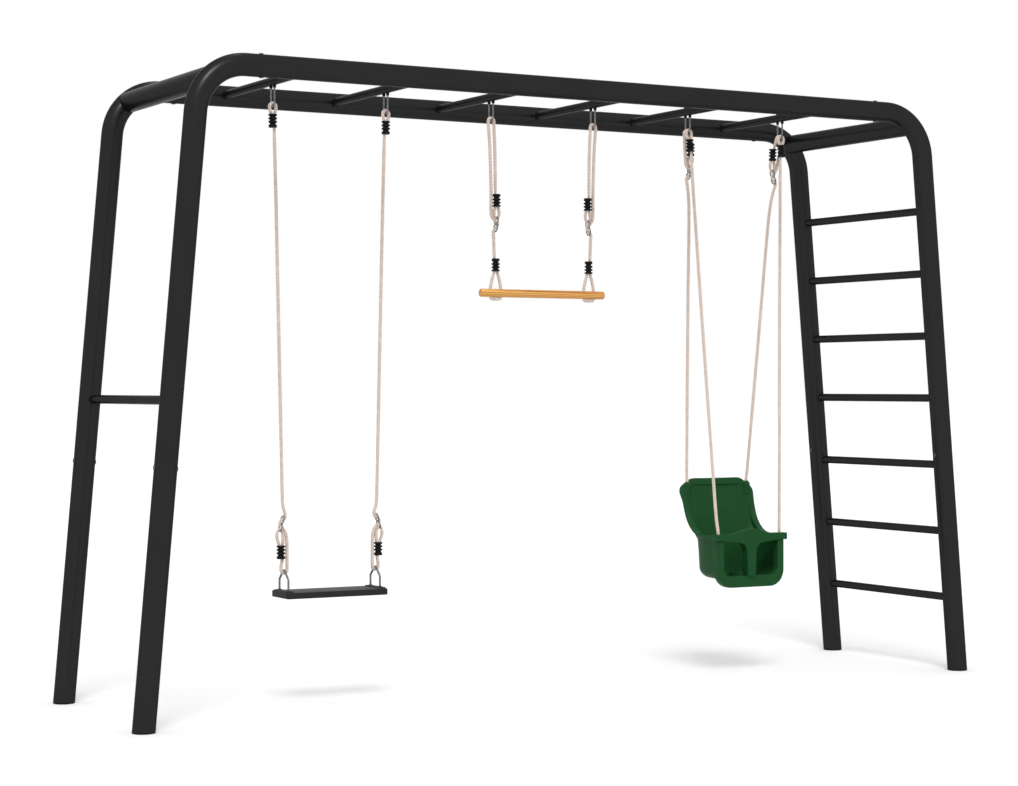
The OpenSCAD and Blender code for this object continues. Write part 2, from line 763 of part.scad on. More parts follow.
module bucket_shell() {
    color(green)
        translate([bucket_x, 0, 0])
            difference() {
                union() {
                    bucket_wall();
                    bucket_pan();
                    bucket_front();
                    bucket_ears();
                }
                translate([-200, front_y - 10, guard_under]) cube([400, front_t + 10, 60]);
                for (s = [-1, 1]) {
                    translate([s * corner_s, bucket_ear_y, 750]) cylinder(d = rope_hole_d, h = 60);
                    translate([s * corner_s, bucket_ear_y, 729])
                        cylinder(d = knot_d + 1, h = 28);
                    translate([s * guard_s, guard_y, guard_under - 30])
                        cylinder(d = knot_d + 1, h = 40);
                }
            }
}

// Guard bar across the front with its middle post, as an outline in X-Z
module bucket_guard() {
    end_s = 174;
    end_top = 572;
    color(green)
        difference() {
            translate([bucket_x, front_y + front_t, 0])
                rotate([90, 0, 0])
                    linear_extrude(front_t + guard_proud)
                        polygon([[-end_s, guard_under], [-opening_out, guard_under], [-36, 533],
                            [-24, 521], [-18, lip_high], [18, lip_high], [24, 521], [36, 533],
                            [opening_out, guard_under], [end_s, guard_under], [end_s, end_top],
                            [84, end_top], [50, 586], [0, 593], [-50, 586], [-84, end_top],
                            [-end_s, end_top]]);
            for (s = [-1, 1])
                translate([bucket_x + s * guard_s, guard_y, guard_under - 5])
                    cylinder(d = rope_hole_d, h = 60);
        }
}

// ---- node selection -------------------------------------------------------------------

rail(-half_depth);  // front_rail
rail(half_depth);  // back_rail
upper_leg(-1, -half_depth);  // upper_leg_front_left
upper_leg(1, -half_depth);  // upper_leg_front_right
upper_leg(-1, half_depth);  // upper_leg_back_left
upper_leg(1, half_depth);  // upper_leg_back_right
lower_leg(-1, -half_depth);  // lower_leg_front_left
lower_leg(1, -half_depth);  // lower_leg_front_right
lower_leg(-1, half_depth);  // lower_leg_back_left
lower_leg(1, half_depth);  // lower_leg_back_right
cross_tube(-1);  // cross_tube_left
cross_tube(1);  // cross_tube_right
overhead_rung(1);  // overhead_rung_1
overhead_rung(2);  // overhead_rung_2
overhead_rung(3);  // overhead_rung_3
overhead_rung(4);  // overhead_rung_4
overhead_rung(5);  // overhead_rung_5
overhead_rung(6);  // overhead_rung_6
leg_rung(1, ladder_z(1));  // ladder_rung_1
leg_rung(1, ladder_z(2));  // ladder_rung_2
leg_rung(1, ladder_z(3));  // ladder_rung_3
leg_rung(1, ladder_z(4));  // ladder_rung_4
leg_rung(1, ladder_z(5));  // ladder_rung_5
leg_rung(1, ladder_z(6));  // ladder_rung_6
leg_rung(1, ladder_z(7));  // ladder_rung_7
leg_rung(-1, ladder_z(4));  // side_bar
foot_plugs();
joint_sleeves();
joint_bolts();
hanger(1);  // hanger_1
hanger(2);  // hanger_2
hanger(3);  // hanger_3
hanger(4);  // hanger_4
hanger(5);  // hanger_5
hanger(6);  // hanger_6
hanger_nuts();
swing_seat();
stirrup(-1);  // stirrup_left
stirrup(1);  // stirrup_right
swing_rope(-1);  // swing_rope_left
swing_rope(1);  // swing_rope_right
swing_ferrules();
swing_adjusters();
trapeze_bar();
trapeze_rope(-1);  // trapeze_rope_left
trapeze_rope(1);  // trapeze_rope_right
trapeze_ferrules();
trapeze_adjusters();
bucket_shell();
bucket_guard();
bucket_rope(-1, front_route);  // bucket_front_rope_left
bucket_rope(1, front_route);  // bucket_front_rope_right
bucket_rope(-1, back_route);  // bucket_back_rope_left
bucket_rope(1, back_route);  // bucket_back_rope_right
bucket_ferrules();
bucket_adjusters();
bucket_knots();
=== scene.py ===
"""Looks of a garden monkey bar frame with a swing, a trapeze and a bucket seat hung on ropes.

Everything is in the CAD model's frame, in metres: X runs along the frame towards the ladder, Y from
the front to the back, Z up from the ground. Sizes written with MM are in millimetres.
"""

import json
import math

import bpy
import numpy as np
from mathutils import Matrix, Vector


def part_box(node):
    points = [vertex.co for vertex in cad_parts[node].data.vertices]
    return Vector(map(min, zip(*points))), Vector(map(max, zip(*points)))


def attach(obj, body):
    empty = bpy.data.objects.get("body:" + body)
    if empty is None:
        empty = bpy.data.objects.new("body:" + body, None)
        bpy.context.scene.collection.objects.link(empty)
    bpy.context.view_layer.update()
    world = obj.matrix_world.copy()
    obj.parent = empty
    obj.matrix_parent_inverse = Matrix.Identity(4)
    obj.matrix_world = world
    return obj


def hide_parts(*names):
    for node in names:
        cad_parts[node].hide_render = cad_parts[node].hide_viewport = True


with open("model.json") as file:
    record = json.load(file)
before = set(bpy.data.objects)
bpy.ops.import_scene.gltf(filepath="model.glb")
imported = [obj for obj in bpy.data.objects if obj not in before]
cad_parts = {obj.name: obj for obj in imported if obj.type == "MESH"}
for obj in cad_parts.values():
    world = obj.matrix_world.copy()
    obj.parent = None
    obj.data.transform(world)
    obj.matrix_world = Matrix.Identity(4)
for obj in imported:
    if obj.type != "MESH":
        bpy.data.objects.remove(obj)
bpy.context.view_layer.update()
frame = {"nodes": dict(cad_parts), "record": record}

MM = 0.001


# ---- camera ------------------------------------------------------------------------------------
# camera, made first


CAMERA_AT = (-4.450, -7.722, 1.161)
CAMERA_YAW = math.radians(29.29)
CAMERA_PITCH = math.radians(-0.14)
CAMERA_LENS = 80.96
CAMERA_SENSOR = 36.0
CAMERA_REACH = 200.0


def make_camera():
    data = bpy.data.cameras.new("camera")
    data.lens = CAMERA_LENS
    data.sensor_width = CAMERA_SENSOR
    data.clip_end = CAMERA_REACH
    camera = bpy.data.objects.new("camera", data)
    bpy.context.collection.objects.link(camera)
    camera.location = CAMERA_AT
    camera.rotation_euler = (math.pi / 2 + CAMERA_PITCH, 0.0, -CAMERA_YAW)
    bpy.context.scene.camera = camera


make_camera()


# ---- places read from the CAD model ------------------------------------------------------------


def joint_place(name):
    for joint in frame["record"]["behaviour"]["joints"]:
        if joint["name"] == name:
            return np.array(joint["pos_m"], float)
    raise SystemExit(f"no joint named {name}")


def box_centre(node):
    low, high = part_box(node)
    return (np.array(low, float) + np.array(high, float)) / 2


SWING = joint_place("swing_hinge")
SEAT_HINGE = joint_place("swing_seat_hinge")
TRAPEZE = joint_place("trapeze_hinge")
BUCKET = joint_place("bucket_hinge")
HOOK_HALF = (box_centre("overhead_rung_2")[0] - box_centre("overhead_rung_1")[0]) / 2
HALF_DEPTH = -box_centre("front_rail")[1]
RAIL_R = 40 * MM
RUNG_R = 16 * MM
LEG_LEAN = math.radians(5.06)
SIDES = ((-1, "left"), (1, "right"))


# ---- mesh helpers ------------------------------------------------------------------------------


def add_piece(name, verts, faces, material, body, smooth_angle=35.0, uvs=None):
    """A mesh piece that rides on a CAD body."""
    mesh = bpy.data.meshes.new(name)
    mesh.from_pydata([tuple(v) for v in verts], [], [tuple(f) for f in faces])
    mesh.update()
    if uvs is not None:
        layer = mesh.uv_layers.new(name="strand")
        layer.data.foreach_set("uv", np.asarray(uvs, np.float32).ravel())
    mesh.shade_smooth()
    mesh.set_sharp_from_angle(angle=math.radians(smooth_angle))
    mesh.materials.append(material)
    piece = bpy.data.objects.new(name, mesh)
    bpy.context.collection.objects.link(piece)
    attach(piece, body)
    return piece


class Shape:
    """Vertices and faces gathered from several closed parts of one piece."""

    def __init__(self):
        self.verts = []
        self.faces = []

    def add(self, verts, faces, place=None):
        start = len(self.verts)
        if place is not None:
            verts = [place @ Vector(v) for v in verts]
        self.verts.extend(tuple(v) for v in verts)
        self.faces.extend(tuple(start + i for i in face) for face in faces)

    def piece(self, name, material, body, smooth_angle=35.0):
        return add_piece(name, self.verts, self.faces, material, body, smooth_angle)


def loft(rings, closed=False):
    """Quads between rings of equal length; the ends are capped, or joined when closed."""
    n = len(rings[0])
    count = len(rings)
    verts = [tuple(p) for ring in rings for p in ring]
    faces = []
    for i in range(count if closed else count - 1):
        for k in range(n):
            m = (k + 1) % n
            a, b = i * n, ((i + 1) % count) * n
            faces.append((a + k, a + m, b + m, b + k))
    if not closed:
        faces.append(tuple(range(n))[::-1])
        faces.append(tuple((count - 1) * n + k for k in range(n)))
    return verts, faces


def resample(points, step):
    """Points at equal distances of about step along a polyline."""
    points = np.asarray(points, float)
    run = np.concatenate([[0], np.cumsum(np.linalg.norm(np.diff(points, axis=0), axis=1))])
    count = max(2, int(round(run[-1] / step)) + 1)
    at = np.linspace(0, run[-1], count)
    return np.stack([np.interp(at, run, points[:, i]) for i in range(3)], axis=1)


def smooth_path(points, step):
    """A centripetal Catmull-Rom curve through the points, resampled at about step."""
    points = np.asarray(points, float)
    ends = [2 * points[0] - points[1], 2 * points[-1] - points[-2]]
    p = np.vstack([ends[:1], points, ends[1:]])
    out = []
    for i in range(1, len(p) - 2):
        p0, p1, p2, p3 = p[i - 1 : i + 3]
        t0 = 0.0
        t1 = t0 + math.sqrt(np.linalg.norm(p1 - p0))
        t2 = t1 + math.sqrt(np.linalg.norm(p2 - p1))
        t3 = t2 + math.sqrt(np.linalg.norm(p3 - p2))
        count = max(4, int(np.linalg.norm(p2 - p1) / step * 2))
        for t in np.linspace(t1, t2, count, endpoint=False):
            a1 = (t1 - t) / (t1 - t0) * p0 + (t - t0) / (t1 - t0) * p1
            a2 = (t2 - t) / (t2 - t1) * p1 + (t - t1) / (t2 - t1) * p2
            a3 = (t3 - t) / (t3 - t2) * p2 + (t - t2) / (t3 - t2) * p3
            b1 = (t2 - t) / (t2 - t0) * a1 + (t - t0) / (t2 - t0) * a2
            b2 = (t3 - t) / (t3 - t1) * a2 + (t - t1) / (t3 - t1) * a3
            out.append((t2 - t) / (t2 - t1) * b1 + (t - t1) / (t2 - t1) * b2)
    out.append(points[-1])
    return resample(out, step)


def carried_frames(path, start=(0, 1, 0)):
    """Tangent, normal and side directions along a path, carried without twisting."""
    tangents = np.gradient(path, axis=0)
    tangents /= np.linalg.norm(tangents, axis=1)[:, None]
    normals = np.zeros_like(path)
    n = np.array(start, float)
    for i, t in enumerate(tangents):
        n = n - n.dot(t) * t
        n /= np.linalg.norm(n)
        normals[i] = n
    return tangents, normals, np.cross(tangents, normals)


def sweep(path, outline, closed=False, start=(0, 1, 0)):
    """Rings of a 2-D outline carried along a path: (normal, side) offsets."""
    tangents, normals, sides = carried_frames(np.asarray(path, float), start)
    if closed:
        wrap = np.roll(path, -1, axis=0) - np.roll(path, 1, axis=0)
        tangents = wrap / np.linalg.norm(wrap, axis=1)[:, None]
        normals = normals - (normals * tangents).sum(axis=1)[:, None] * tangents
        normals /= np.linalg.norm(normals, axis=1)[:, None]
        sides = np.cross(tangents, normals)
    rings = [
        [p + a * n + b * s for a, b in outline]
        for p, n, s in zip(path, normals, sides)
    ]
    return loft(rings, closed=closed)


def circle(radius, count):
    return [
        (radius * math.cos(2 * math.pi * k / count), radius * math.sin(2 * math.pi * k / count))
        for k in range(count)
    ]


def filleted(points, radii, steps=8):
    """A polyline whose inner corners are rounded with arcs of the given radii."""
    out = [np.array(points[0], float)]
    for i in range(1, len(points) - 1):
        a, b, c = (np.array(points[j], float) for j in (i - 1, i, i + 1))
        radius = radii[i - 1]
        u = (a - b) / np.linalg.norm(a - b)
        v = (c - b) / np.linalg.norm(c - b)
        half = math.acos(np.clip(u.dot(v), -1, 1)) / 2
        reach = radius / math.tan(half)
        centre = b + (u + v) / np.linalg.norm(u + v) * radius / math.sin(half)
        p, q = b + u * reach - centre, b + v * reach - centre
        angle = math.acos(np.clip(p.dot(q) / radius**2, -1, 1))
        for k in range(steps + 1):
            w = k / steps
            out.append(
                centre
                + (math.sin((1 - w) * angle) * p + math.sin(w * angle) * q) / math.sin(angle)
            )
    out.append(np.array(points[-1], float))
    return np.array(out)


def arc_points(centre, radius, start, stop, count):
    """2-D points of an arc, with angles in degrees."""
    angles = np.radians(np.linspace(start, stop, count))
    return [(centre[0] + radius * math.cos(a), centre[1] + radius * math.sin(a)) for a in angles]


def rounded_outline(width, height, radius, steps=6):
    """Counter-clockwise 2-D outline of a rectangle with round corners, centred."""
    x, y = width / 2 - radius, height / 2 - radius
    return (
        arc_points((x, -y), radius, -90, 0, steps)
        + arc_points((x, y), radius, 0, 90, steps)
        + arc_points((-x, y), radius, 90, 180, steps)
        + arc_points((-x, -y), radius, 180, 270, steps)
    )


def ball(centre, radii, count):
    """An ellipsoid as a closed lofted mesh."""
    rings = []
    for i in range(1, count // 2 + 1):
        lat = math.pi * i / (count // 2 + 1)
        z = centre[2] + radii[2] * math.cos(lat)
        level = [
            (centre[0] + radii[0] * math.sin(lat) * x, centre[1] + radii[1] * math.sin(lat) * y, z)
            for x, y in circle(1.0, count)
        ]
        rings.append(level[::-1])
    return loft(rings)


def lathe(profile, count=32):
    """A closed turned solid from (radius, z) points; the first and last are capped."""
    rings = [[(x, y, z) for x, y in circle(r, count)] for r, z in profile]
    if profile[0][1] > profile[-1][1]:
        rings = [ring[::-1] for ring in rings]
    return loft(rings)


def slab(outline, profile):
    """A slab on a 2-D outline; each profile step is (distance drawn in, z)."""
    outline = np.asarray(outline, float)
    before = np.roll(outline, 1, axis=0) - outline
    after = np.roll(outline, -1, axis=0) - outline
    before /= np.linalg.norm(before, axis=1)[:, None] + 1e-12
    after /= np.linalg.norm(after, axis=1)[:, None] + 1e-12
    edge = after - before
    edge /= np.linalg.norm(edge, axis=1)[:, None] + 1e-12
    inward = np.stack([-edge[:, 1], edge[:, 0]], axis=1)
    return loft([[(x, y, z) for x, y in outline + inset * inward] for inset, z in profile])


def soft_edges(height, radius, steps=4):
    """Profile steps of a slab with rounded edges, from the bottom up."""
    low = [
        (radius * (1 - math.sin(w)), radius * (1 - math.cos(w)))
        for w in np.linspace(0, math.pi / 2, steps)
    ]
    return low + [(inset, height - z) for inset, z in reversed(low)]


def cut_with(piece, cutter):
    """Cuts a shape out of a piece for good."""
    mesh = bpy.data.meshes.new("cutter")
    mesh.from_pydata(cutter.verts, [], cutter.faces)
    tool = bpy.data.objects.new("cutter", mesh)
    bpy.context.collection.objects.link(tool)
    modifier = piece.modifiers.new("cut", "BOOLEAN")
    modifier.operation = "DIFFERENCE"
    modifier.object = tool
    modifier.solver = "EXACT"
    freeze(piece)
    bpy.data.objects.remove(tool)


def freeze(piece):
    """Replaces a piece's mesh with what its modifiers make of it."""
    depsgraph = bpy.context.evaluated_depsgraph_get()
    mesh = bpy.data.meshes.new_from_object(piece.evaluated_get(depsgraph))
    piece.modifiers.clear()
    piece.data = mesh


def remesh(piece, voxel, smooth_steps):
    """Welds overlapping closed parts into one skin with softened inner corners."""
    material = piece.data.materials[0]
    modifier = piece.modifiers.new("weld", "REMESH")
    modifier.mode = "VOXEL"
    modifier.voxel_size = voxel
    modifier.use_smooth_shade = True
    soft = piece.modifiers.new("soften", "SMOOTH")
    soft.factor = 0.5
    soft.iterations = smooth_steps
    freeze(piece)
    piece.data.shade_smooth()
    piece.data.materials.clear()
    piece.data.materials.append(material)


# ---- materials ---------------------------------------------------------------------------------


class Material:
    """A node material with short helpers; every texture reads the CAD frame's coordinates."""

    def __init__(self, name, colour, roughness, metallic=0.0, specular=0.5):
        self.material = bpy.data.materials.new(name)
        self.material.use_nodes = True
        self.nodes = self.material.node_tree.nodes
        self.links = self.material.node_tree.links
        self.shader = self.nodes["Principled BSDF"]
        self.shader.inputs["Base Color"].default_value = (*colour, 1.0)
        self.shader.inputs["Roughness"].default_value = roughness
        self.shader.inputs["Metallic"].default_value = metallic
        self.shader.inputs["Specular IOR Level"].default_value = specular
        self.place = self.nodes.new("ShaderNodeTexCoord").outputs["Object"]
        self.normal = None

    def scaled(self, scale, move=(0.0, 0.0, 0.0)):
        node = self.nodes.new("ShaderNodeMapping")
        node.inputs["Location"].default_value = move
        node.inputs["Scale"].default_value = scale
        self.links.new(self.place, node.inputs["Vector"])
        return node.outputs["Vector"]

    def noise(self, scale, detail=3.0, roughness=0.5, vector=None, distortion=0.0):
        node = self.nodes.new("ShaderNodeTexNoise")
        node.inputs["Scale"].default_value = scale
        node.inputs["Detail"].default_value = detail
        node.inputs["Roughness"].default_value = roughness
        node.inputs["Distortion"].default_value = distortion
        self.links.new(vector or self.place, node.inputs["Vector"])
        return node.outputs["Fac"]

    def ramp(self, value, stops):
        node = self.nodes.new("ShaderNodeValToRGB")
        elements = node.color_ramp.elements
        for i, (at, colour) in enumerate(stops):
            element = elements[i] if i < 2 else elements.new(at)
            element.position = at
            element.color = (*colour, 1.0)
        self.links.new(value, node.inputs["Fac"])
        return node.outputs["Color"]

    def mix(self, factor, a, b):
        """From a to b by the factor; each may be a number, a colour or another node's output."""
        node = self.nodes.new("ShaderNodeMix")
        node.data_type = "RGBA"
        for value, index in ((factor, 0), (a, 6), (b, 7)):
            if isinstance(value, bpy.types.NodeSocket):
                self.links.new(value, node.inputs[index])
            elif isinstance(value, (int, float)):
                node.inputs[index].default_value = value
            else:
                node.inputs[index].default_value = (*value, 1.0)
        return node.outputs[2]

    def spread(self, value, low, high):
        """Maps a 0 to 1 value onto low to high."""
        node = self.nodes.new("ShaderNodeMapRange")
        node.inputs["To Min"].default_value = low
        node.inputs["To Max"].default_value = high
        self.links.new(value, node.inputs["Value"])
        return node.outputs["Result"]

    def calc(self, operation, a, b=None):
        node = self.nodes.new("ShaderNodeMath")
        node.operation = operation
        self.links.new(a, node.inputs[0])
        if isinstance(b, float):
            node.inputs[1].default_value = b
        elif b is not None:
            self.links.new(b, node.inputs[1])
        return node.outputs["Value"]

    def bump(self, height, strength, distance):
        """Adds a layer of relief on top of the ones before it."""
        node = self.nodes.new("ShaderNodeBump")
        node.inputs["Strength"].default_value = strength
        node.inputs["Distance"].default_value = distance
        self.links.new(height, node.inputs["Height"])
        if self.normal is not None:
            self.links.new(self.normal, node.inputs["Normal"])
        self.normal = node.outputs["Normal"]
        self.links.new(self.normal, self.shader.inputs["Normal"])

    def colour(self, value):
        self.links.new(value, self.shader.inputs["Base Color"])

    def roughness(self, value):
        self.links.new(value, self.shader.inputs["Roughness"])


def powder_coat():
    """Satin near-black powder coat: orange peel, faint dust and a few softer patches."""
    m = Material("powder_coat", (0.026, 0.0262, 0.0272), 0.3, metallic=0.8, specular=0.1)
    m.shader.inputs["Specular Tint"].default_value = (0.42, 0.42, 0.42, 1.0)
    patches = m.noise(3.5, detail=4.0)
    fine = m.noise(60.0, detail=4.0)
    faded = m.spread(patches, 0.0, 0.6)
    m.colour(m.mix(faded, (0.0215, 0.0217, 0.0225), (0.0290, 0.0292, 0.0302)))
    m.roughness(m.spread(m.mix(0.5, patches, fine), 0.22, 0.36))
    m.bump(m.noise(620.0, detail=2.0), 0.22, 0.0004)
    return m.material


def galvanised():
    """Hot-dip galvanised rod: mottled zinc, dull in the recesses of its spangle."""
    m = Material("galvanised_steel", (0.27, 0.275, 0.28), 0.38, metallic=1.0)
    spangle = m.nodes.new("ShaderNodeTexVoronoi")
    spangle.inputs["Scale"].default_value = 260.0
    m.links.new(m.place, spangle.inputs["Vector"])
    tone = m.mix(0.5, spangle.outputs["Color"], m.noise(90.0, detail=5.0))
    grey = m.ramp(tone, [(0.2, (0.13, 0.13, 0.132)), (0.8, (0.29, 0.29, 0.292))])
    m.colour(grey)
    m.roughness(m.spread(m.noise(140.0, detail=4.0), 0.28, 0.55))
    m.bump(m.noise(420.0, detail=3.0), 0.25, 0.0003)
    return m.material


def zinc_dark():
    """Dark passivated zinc on bolts and sleeves."""
    m = Material("zinc_steel", (0.05, 0.05, 0.053), 0.42, metallic=0.6)
    m.roughness(m.spread(m.noise(200.0, detail=4.0), 0.3, 0.55))
    m.bump(m.noise(700.0), 0.2, 0.0003)
    return m.material


def black_plastic():
    """Moulded black plastic with a fine spark-eroded grain."""
    m = Material("black_plastic", (0.0035, 0.0035, 0.0038), 0.42, specular=0.12)
    scuffs = m.noise(80.0, detail=5.0)
    wear = m.spread(scuffs, 0.0, 0.7)
    m.colour(m.mix(wear, (0.0028, 0.0028, 0.003), (0.006, 0.006, 0.0064)))
    m.roughness(m.spread(m.noise(500.0, detail=3.0), 0.34, 0.55))
    m.bump(m.noise(1500.0, detail=2.0), 0.3, 0.0002)
    return m.material


def rubber():
    """Moulded rubber, dark and matt: fine grain, dust mottle and painted light on upward faces."""
    m = Material("rubber", (0.012, 0.012, 0.0125), 0.62, specular=0.22)
    dust = m.noise(45.0, detail=6.0, roughness=0.65)
    amount = m.spread(dust, 0.0, 0.8)
    skin = m.mix(amount, (0.007, 0.007, 0.0075), (0.014, 0.014, 0.0145))
    # Lighter colours for the upward faces: painted light from above, mottled by the dust noise
    lit_top_dust = m.mix(amount, (0.018, 0.018, 0.0185), (0.040, 0.040, 0.041))
    geometry = m.nodes.new("ShaderNodeNewGeometry")
    facing = m.nodes.new("ShaderNodeSeparateXYZ")
    m.links.new(geometry.outputs["Normal"], facing.inputs["Vector"])
    # Mask of the upward faces, where the painted top light goes
    top_light_mask = m.ramp(facing.outputs["Z"], [(0.55, (0.0, 0.0, 0.0)), (0.95, (1.0, 1.0, 1.0))])
    m.colour(m.mix(top_light_mask, skin, lit_top_dust))
    m.roughness(m.spread(dust, 0.5, 0.75))
    m.bump(m.noise(900.0, detail=3.0), 0.35, 0.0004)
    return m.material


YARNS = 7


def rope_fibre():
    """Twisted hemp-coloured cord: yarns run slantwise round each strand, with loose fibre fuzz."""
    m = Material("rope", (0.61, 0.51, 0.45), 0.82, specular=0.25)
    uv = m.nodes.new("ShaderNodeUVMap")
    uv.uv_map = "strand"
    split = m.nodes.new("ShaderNodeSeparateXYZ")
    m.links.new(uv.outputs["UV"], split.inputs["Vector"])
    slant = m.calc("ADD", split.outputs["X"], split.outputs["Y"])
    wave = m.calc("SINE", m.calc("MULTIPLY", slant, 2 * math.pi * YARNS))
    yarn = m.spread(wave, 0.0, 1.0)
    yarn.node.inputs["From Min"].default_value = -1.0
    fuzz = m.noise(1600.0, detail=4.0, roughness=0.7)
    tone = m.noise(55.0, detail=5.0)
    base = m.ramp(tone, [(0.3, (0.56, 0.466, 0.405)), (0.7, (0.68, 0.582, 0.518))])
    # Darker towards the grooves between the yarns: painted shade
    m.colour(m.mix(m.spread(yarn, 0.30, 0.0), base, (0.38, 0.295, 0.25)))
    m.bump(m.mix(0.35, yarn, fuzz), 0.5, 0.0005)
    return m.material


# Brings the middle of the growth rings just beside the trapeze bar
PITH_SHIFT = (0.0, 0.083, -1.541)


def pine():
    """Honey-varnished pine dowel: growth rings cut lengthwise, pores and a few dark streaks."""
    m = Material("pine", (0.70, 0.37, 0.10), 0.34, specular=0.5)
    stretched = m.scaled((2.2, 55.0, 55.0))
    flow = m.noise(1.0, detail=5.0, roughness=0.6, vector=stretched, distortion=0.6)
    rings = m.nodes.new("ShaderNodeTexWave")
    rings.wave_type = "RINGS"
    rings.rings_direction = "X"
    rings.inputs["Scale"].default_value = 46.0
    rings.inputs["Distortion"].default_value = 9.0
    rings.inputs["Detail"].default_value = 3.0
    rings.inputs["Detail Scale"].default_value = 0.25
    pith = m.scaled((0.12, 1.0, 1.0), move=PITH_SHIFT)
    m.links.new(pith, rings.inputs["Vector"])
    base = m.ramp(
        rings.outputs["Fac"],
        [(0.0, (0.68, 0.365, 0.08)), (0.55, (0.57, 0.265, 0.05)), (1.0, (0.33, 0.12, 0.02))],
    )
    streak = m.ramp(flow, [(0.54, (0.0, 0.0, 0.0)), (0.70, (1.0, 1.0, 1.0))])
    m.colour(m.mix(streak, base, (0.25, 0.085, 0.015)))
    pores = m.noise(1.0, detail=2.0, vector=m.scaled((60.0, 1100.0, 1100.0)))
    m.roughness(m.spread(pores, 0.26, 0.44))
    m.bump(m.mix(0.5, pores, flow), 0.12, 0.0004)
    return m.material


def green_plastic():
    """Dark green moulded plastic: slightly mottled, with a soft gloss and faint flow marks."""
    m = Material("green_plastic", (0.0085, 0.052, 0.0150), 0.36, specular=0.06)
    mottle = m.noise(14.0, detail=4.0)
    tone = m.spread(mottle, 0.1, 0.9)
    m.colour(m.mix(tone, (0.0072, 0.047, 0.0128), (0.0105, 0.062, 0.0185)))
    m.roughness(m.spread(m.noise(35.0, detail=5.0), 0.30, 0.46))
    m.bump(m.noise(700.0, detail=3.0), 0.18, 0.0003)
    m.bump(m.noise(9.0, detail=2.0), 0.12, 0.004)
    return m.material


POWDER = powder_coat()
STEEL = galvanised()
ZINC = zinc_dark()
PLASTIC = black_plastic()
RUBBER = rubber()
ROPE = rope_fibre()
PINE = pine()
GREEN = green_plastic()
SLOT_MATERIALS = {
    "powder_coat": POWDER,
    "galvanised_steel": STEEL,
    "zinc_steel": ZINC,
    "black_plastic": PLASTIC,
    "rubber": RUBBER,
    "rope": ROPE,
    "pine": PINE,
    "green_plastic": GREEN,
}


def paint_cad_nodes():
    for entry in frame["record"]["subparts"]:
        node = frame["nodes"][entry["node"]]
        node.data.materials.clear()
        node.data.materials.append(SLOT_MATERIALS[entry["material_slot"]])


paint_cad_nodes()


# ---- ropes -------------------------------------------------------------------------------------

ROPE_OUTER = 6.7 * MM  # radius over the strands
ROPE_LAY = 50 * MM  # length of one turn of a strand
ROPE_STEP = 2.6 * MM  # distance of the points along a rope
STRANDS = 4
STRAND_SIDES = 10
SEARCH = 200  # path points within which the next route point is looked for

# Each point is (outward from the hook, across the frame, up from the hook's pivot) in millimetres;
# a fourth number is the part of its thickness that a pressed rope keeps there.
GRIP = 0.8
PINCH = 0.75
SWING_ROUTE = [
    (5.6, 0, -88, GRIP), (5.6, 0, -47, GRIP), (8.5, 0, -38), (11.5, 0, -28), (12, 0, -18.4),
    (10.4, 0, -12.4), (6, 0, -8), (0, 0, -6.4), (-6, 0, -8), (-10.4, 0, -12.4), (-12, 0, -18.4),
    (-11.5, 0, -28), (-8.5, 0, -38), (-5.6, 0, -47, GRIP), (-5.6, 0, -92, GRIP), (-7, 0, -150),
    (-13, 0, -370), (-18, 0, -590), (-23, 0, -810), (-28, 0, -1030), (-33, 0, -1250),
    (-37, 0, -1420), (-39, 0, -1462), (-44.5, 0, -1483), (-49.2, 0, -1499), (-45.4, 0, -1511.5),
    (-37.4, 0, -1516), (-29.8, 0, -1520.7, GRIP), (-26, 0, -1527.8, PINCH),
    (-27.3, 0, -1534, PINCH), (-31.4, 0, -1538.2, PINCH), (-38.1, 0, -1544.2, PINCH),
    (-44.3, 0, -1552, GRIP), (-49.4, 0, -1561), (-52, 0, -1571), (-54.4, 0, -1584),
    (-55.6, 0, -1602), (-55.8, 0, -1640), (-55.8, 0, -1682), (-55.8, 0, -1697.4),
    (-54.1, 0, -1703.4), (-49.8, 0, -1707.8), (-43.8, 0, -1709.4), (-37.8, 0, -1707.8),
    (-33.4, 0, -1703.4), (-31.8, 0, -1697.4), (-32.5, 0, -1682), (-35.5, 0, -1668),
    (-37.3, 0, -1656, GRIP), (-37.3, 0, -1611, GRIP), (-39.6, 0, -1597), (-40.6, 0, -1583),
    (-39, 0, -1571), (-36.2, 0, -1561.5, GRIP), (-33, 0, -1554, PINCH), (-26.6, 0, -1549.8, PINCH),
    (-20.2, 0, -1554, PINCH), (-17, 0, -1561.5, GRIP), (-15.6, 0, -1571), (-17, 0, -1583),
    (-21.5, 0, -1597), (-26.1, 0, -1611, GRIP), (-26.1, 0, -1652, GRIP),
]
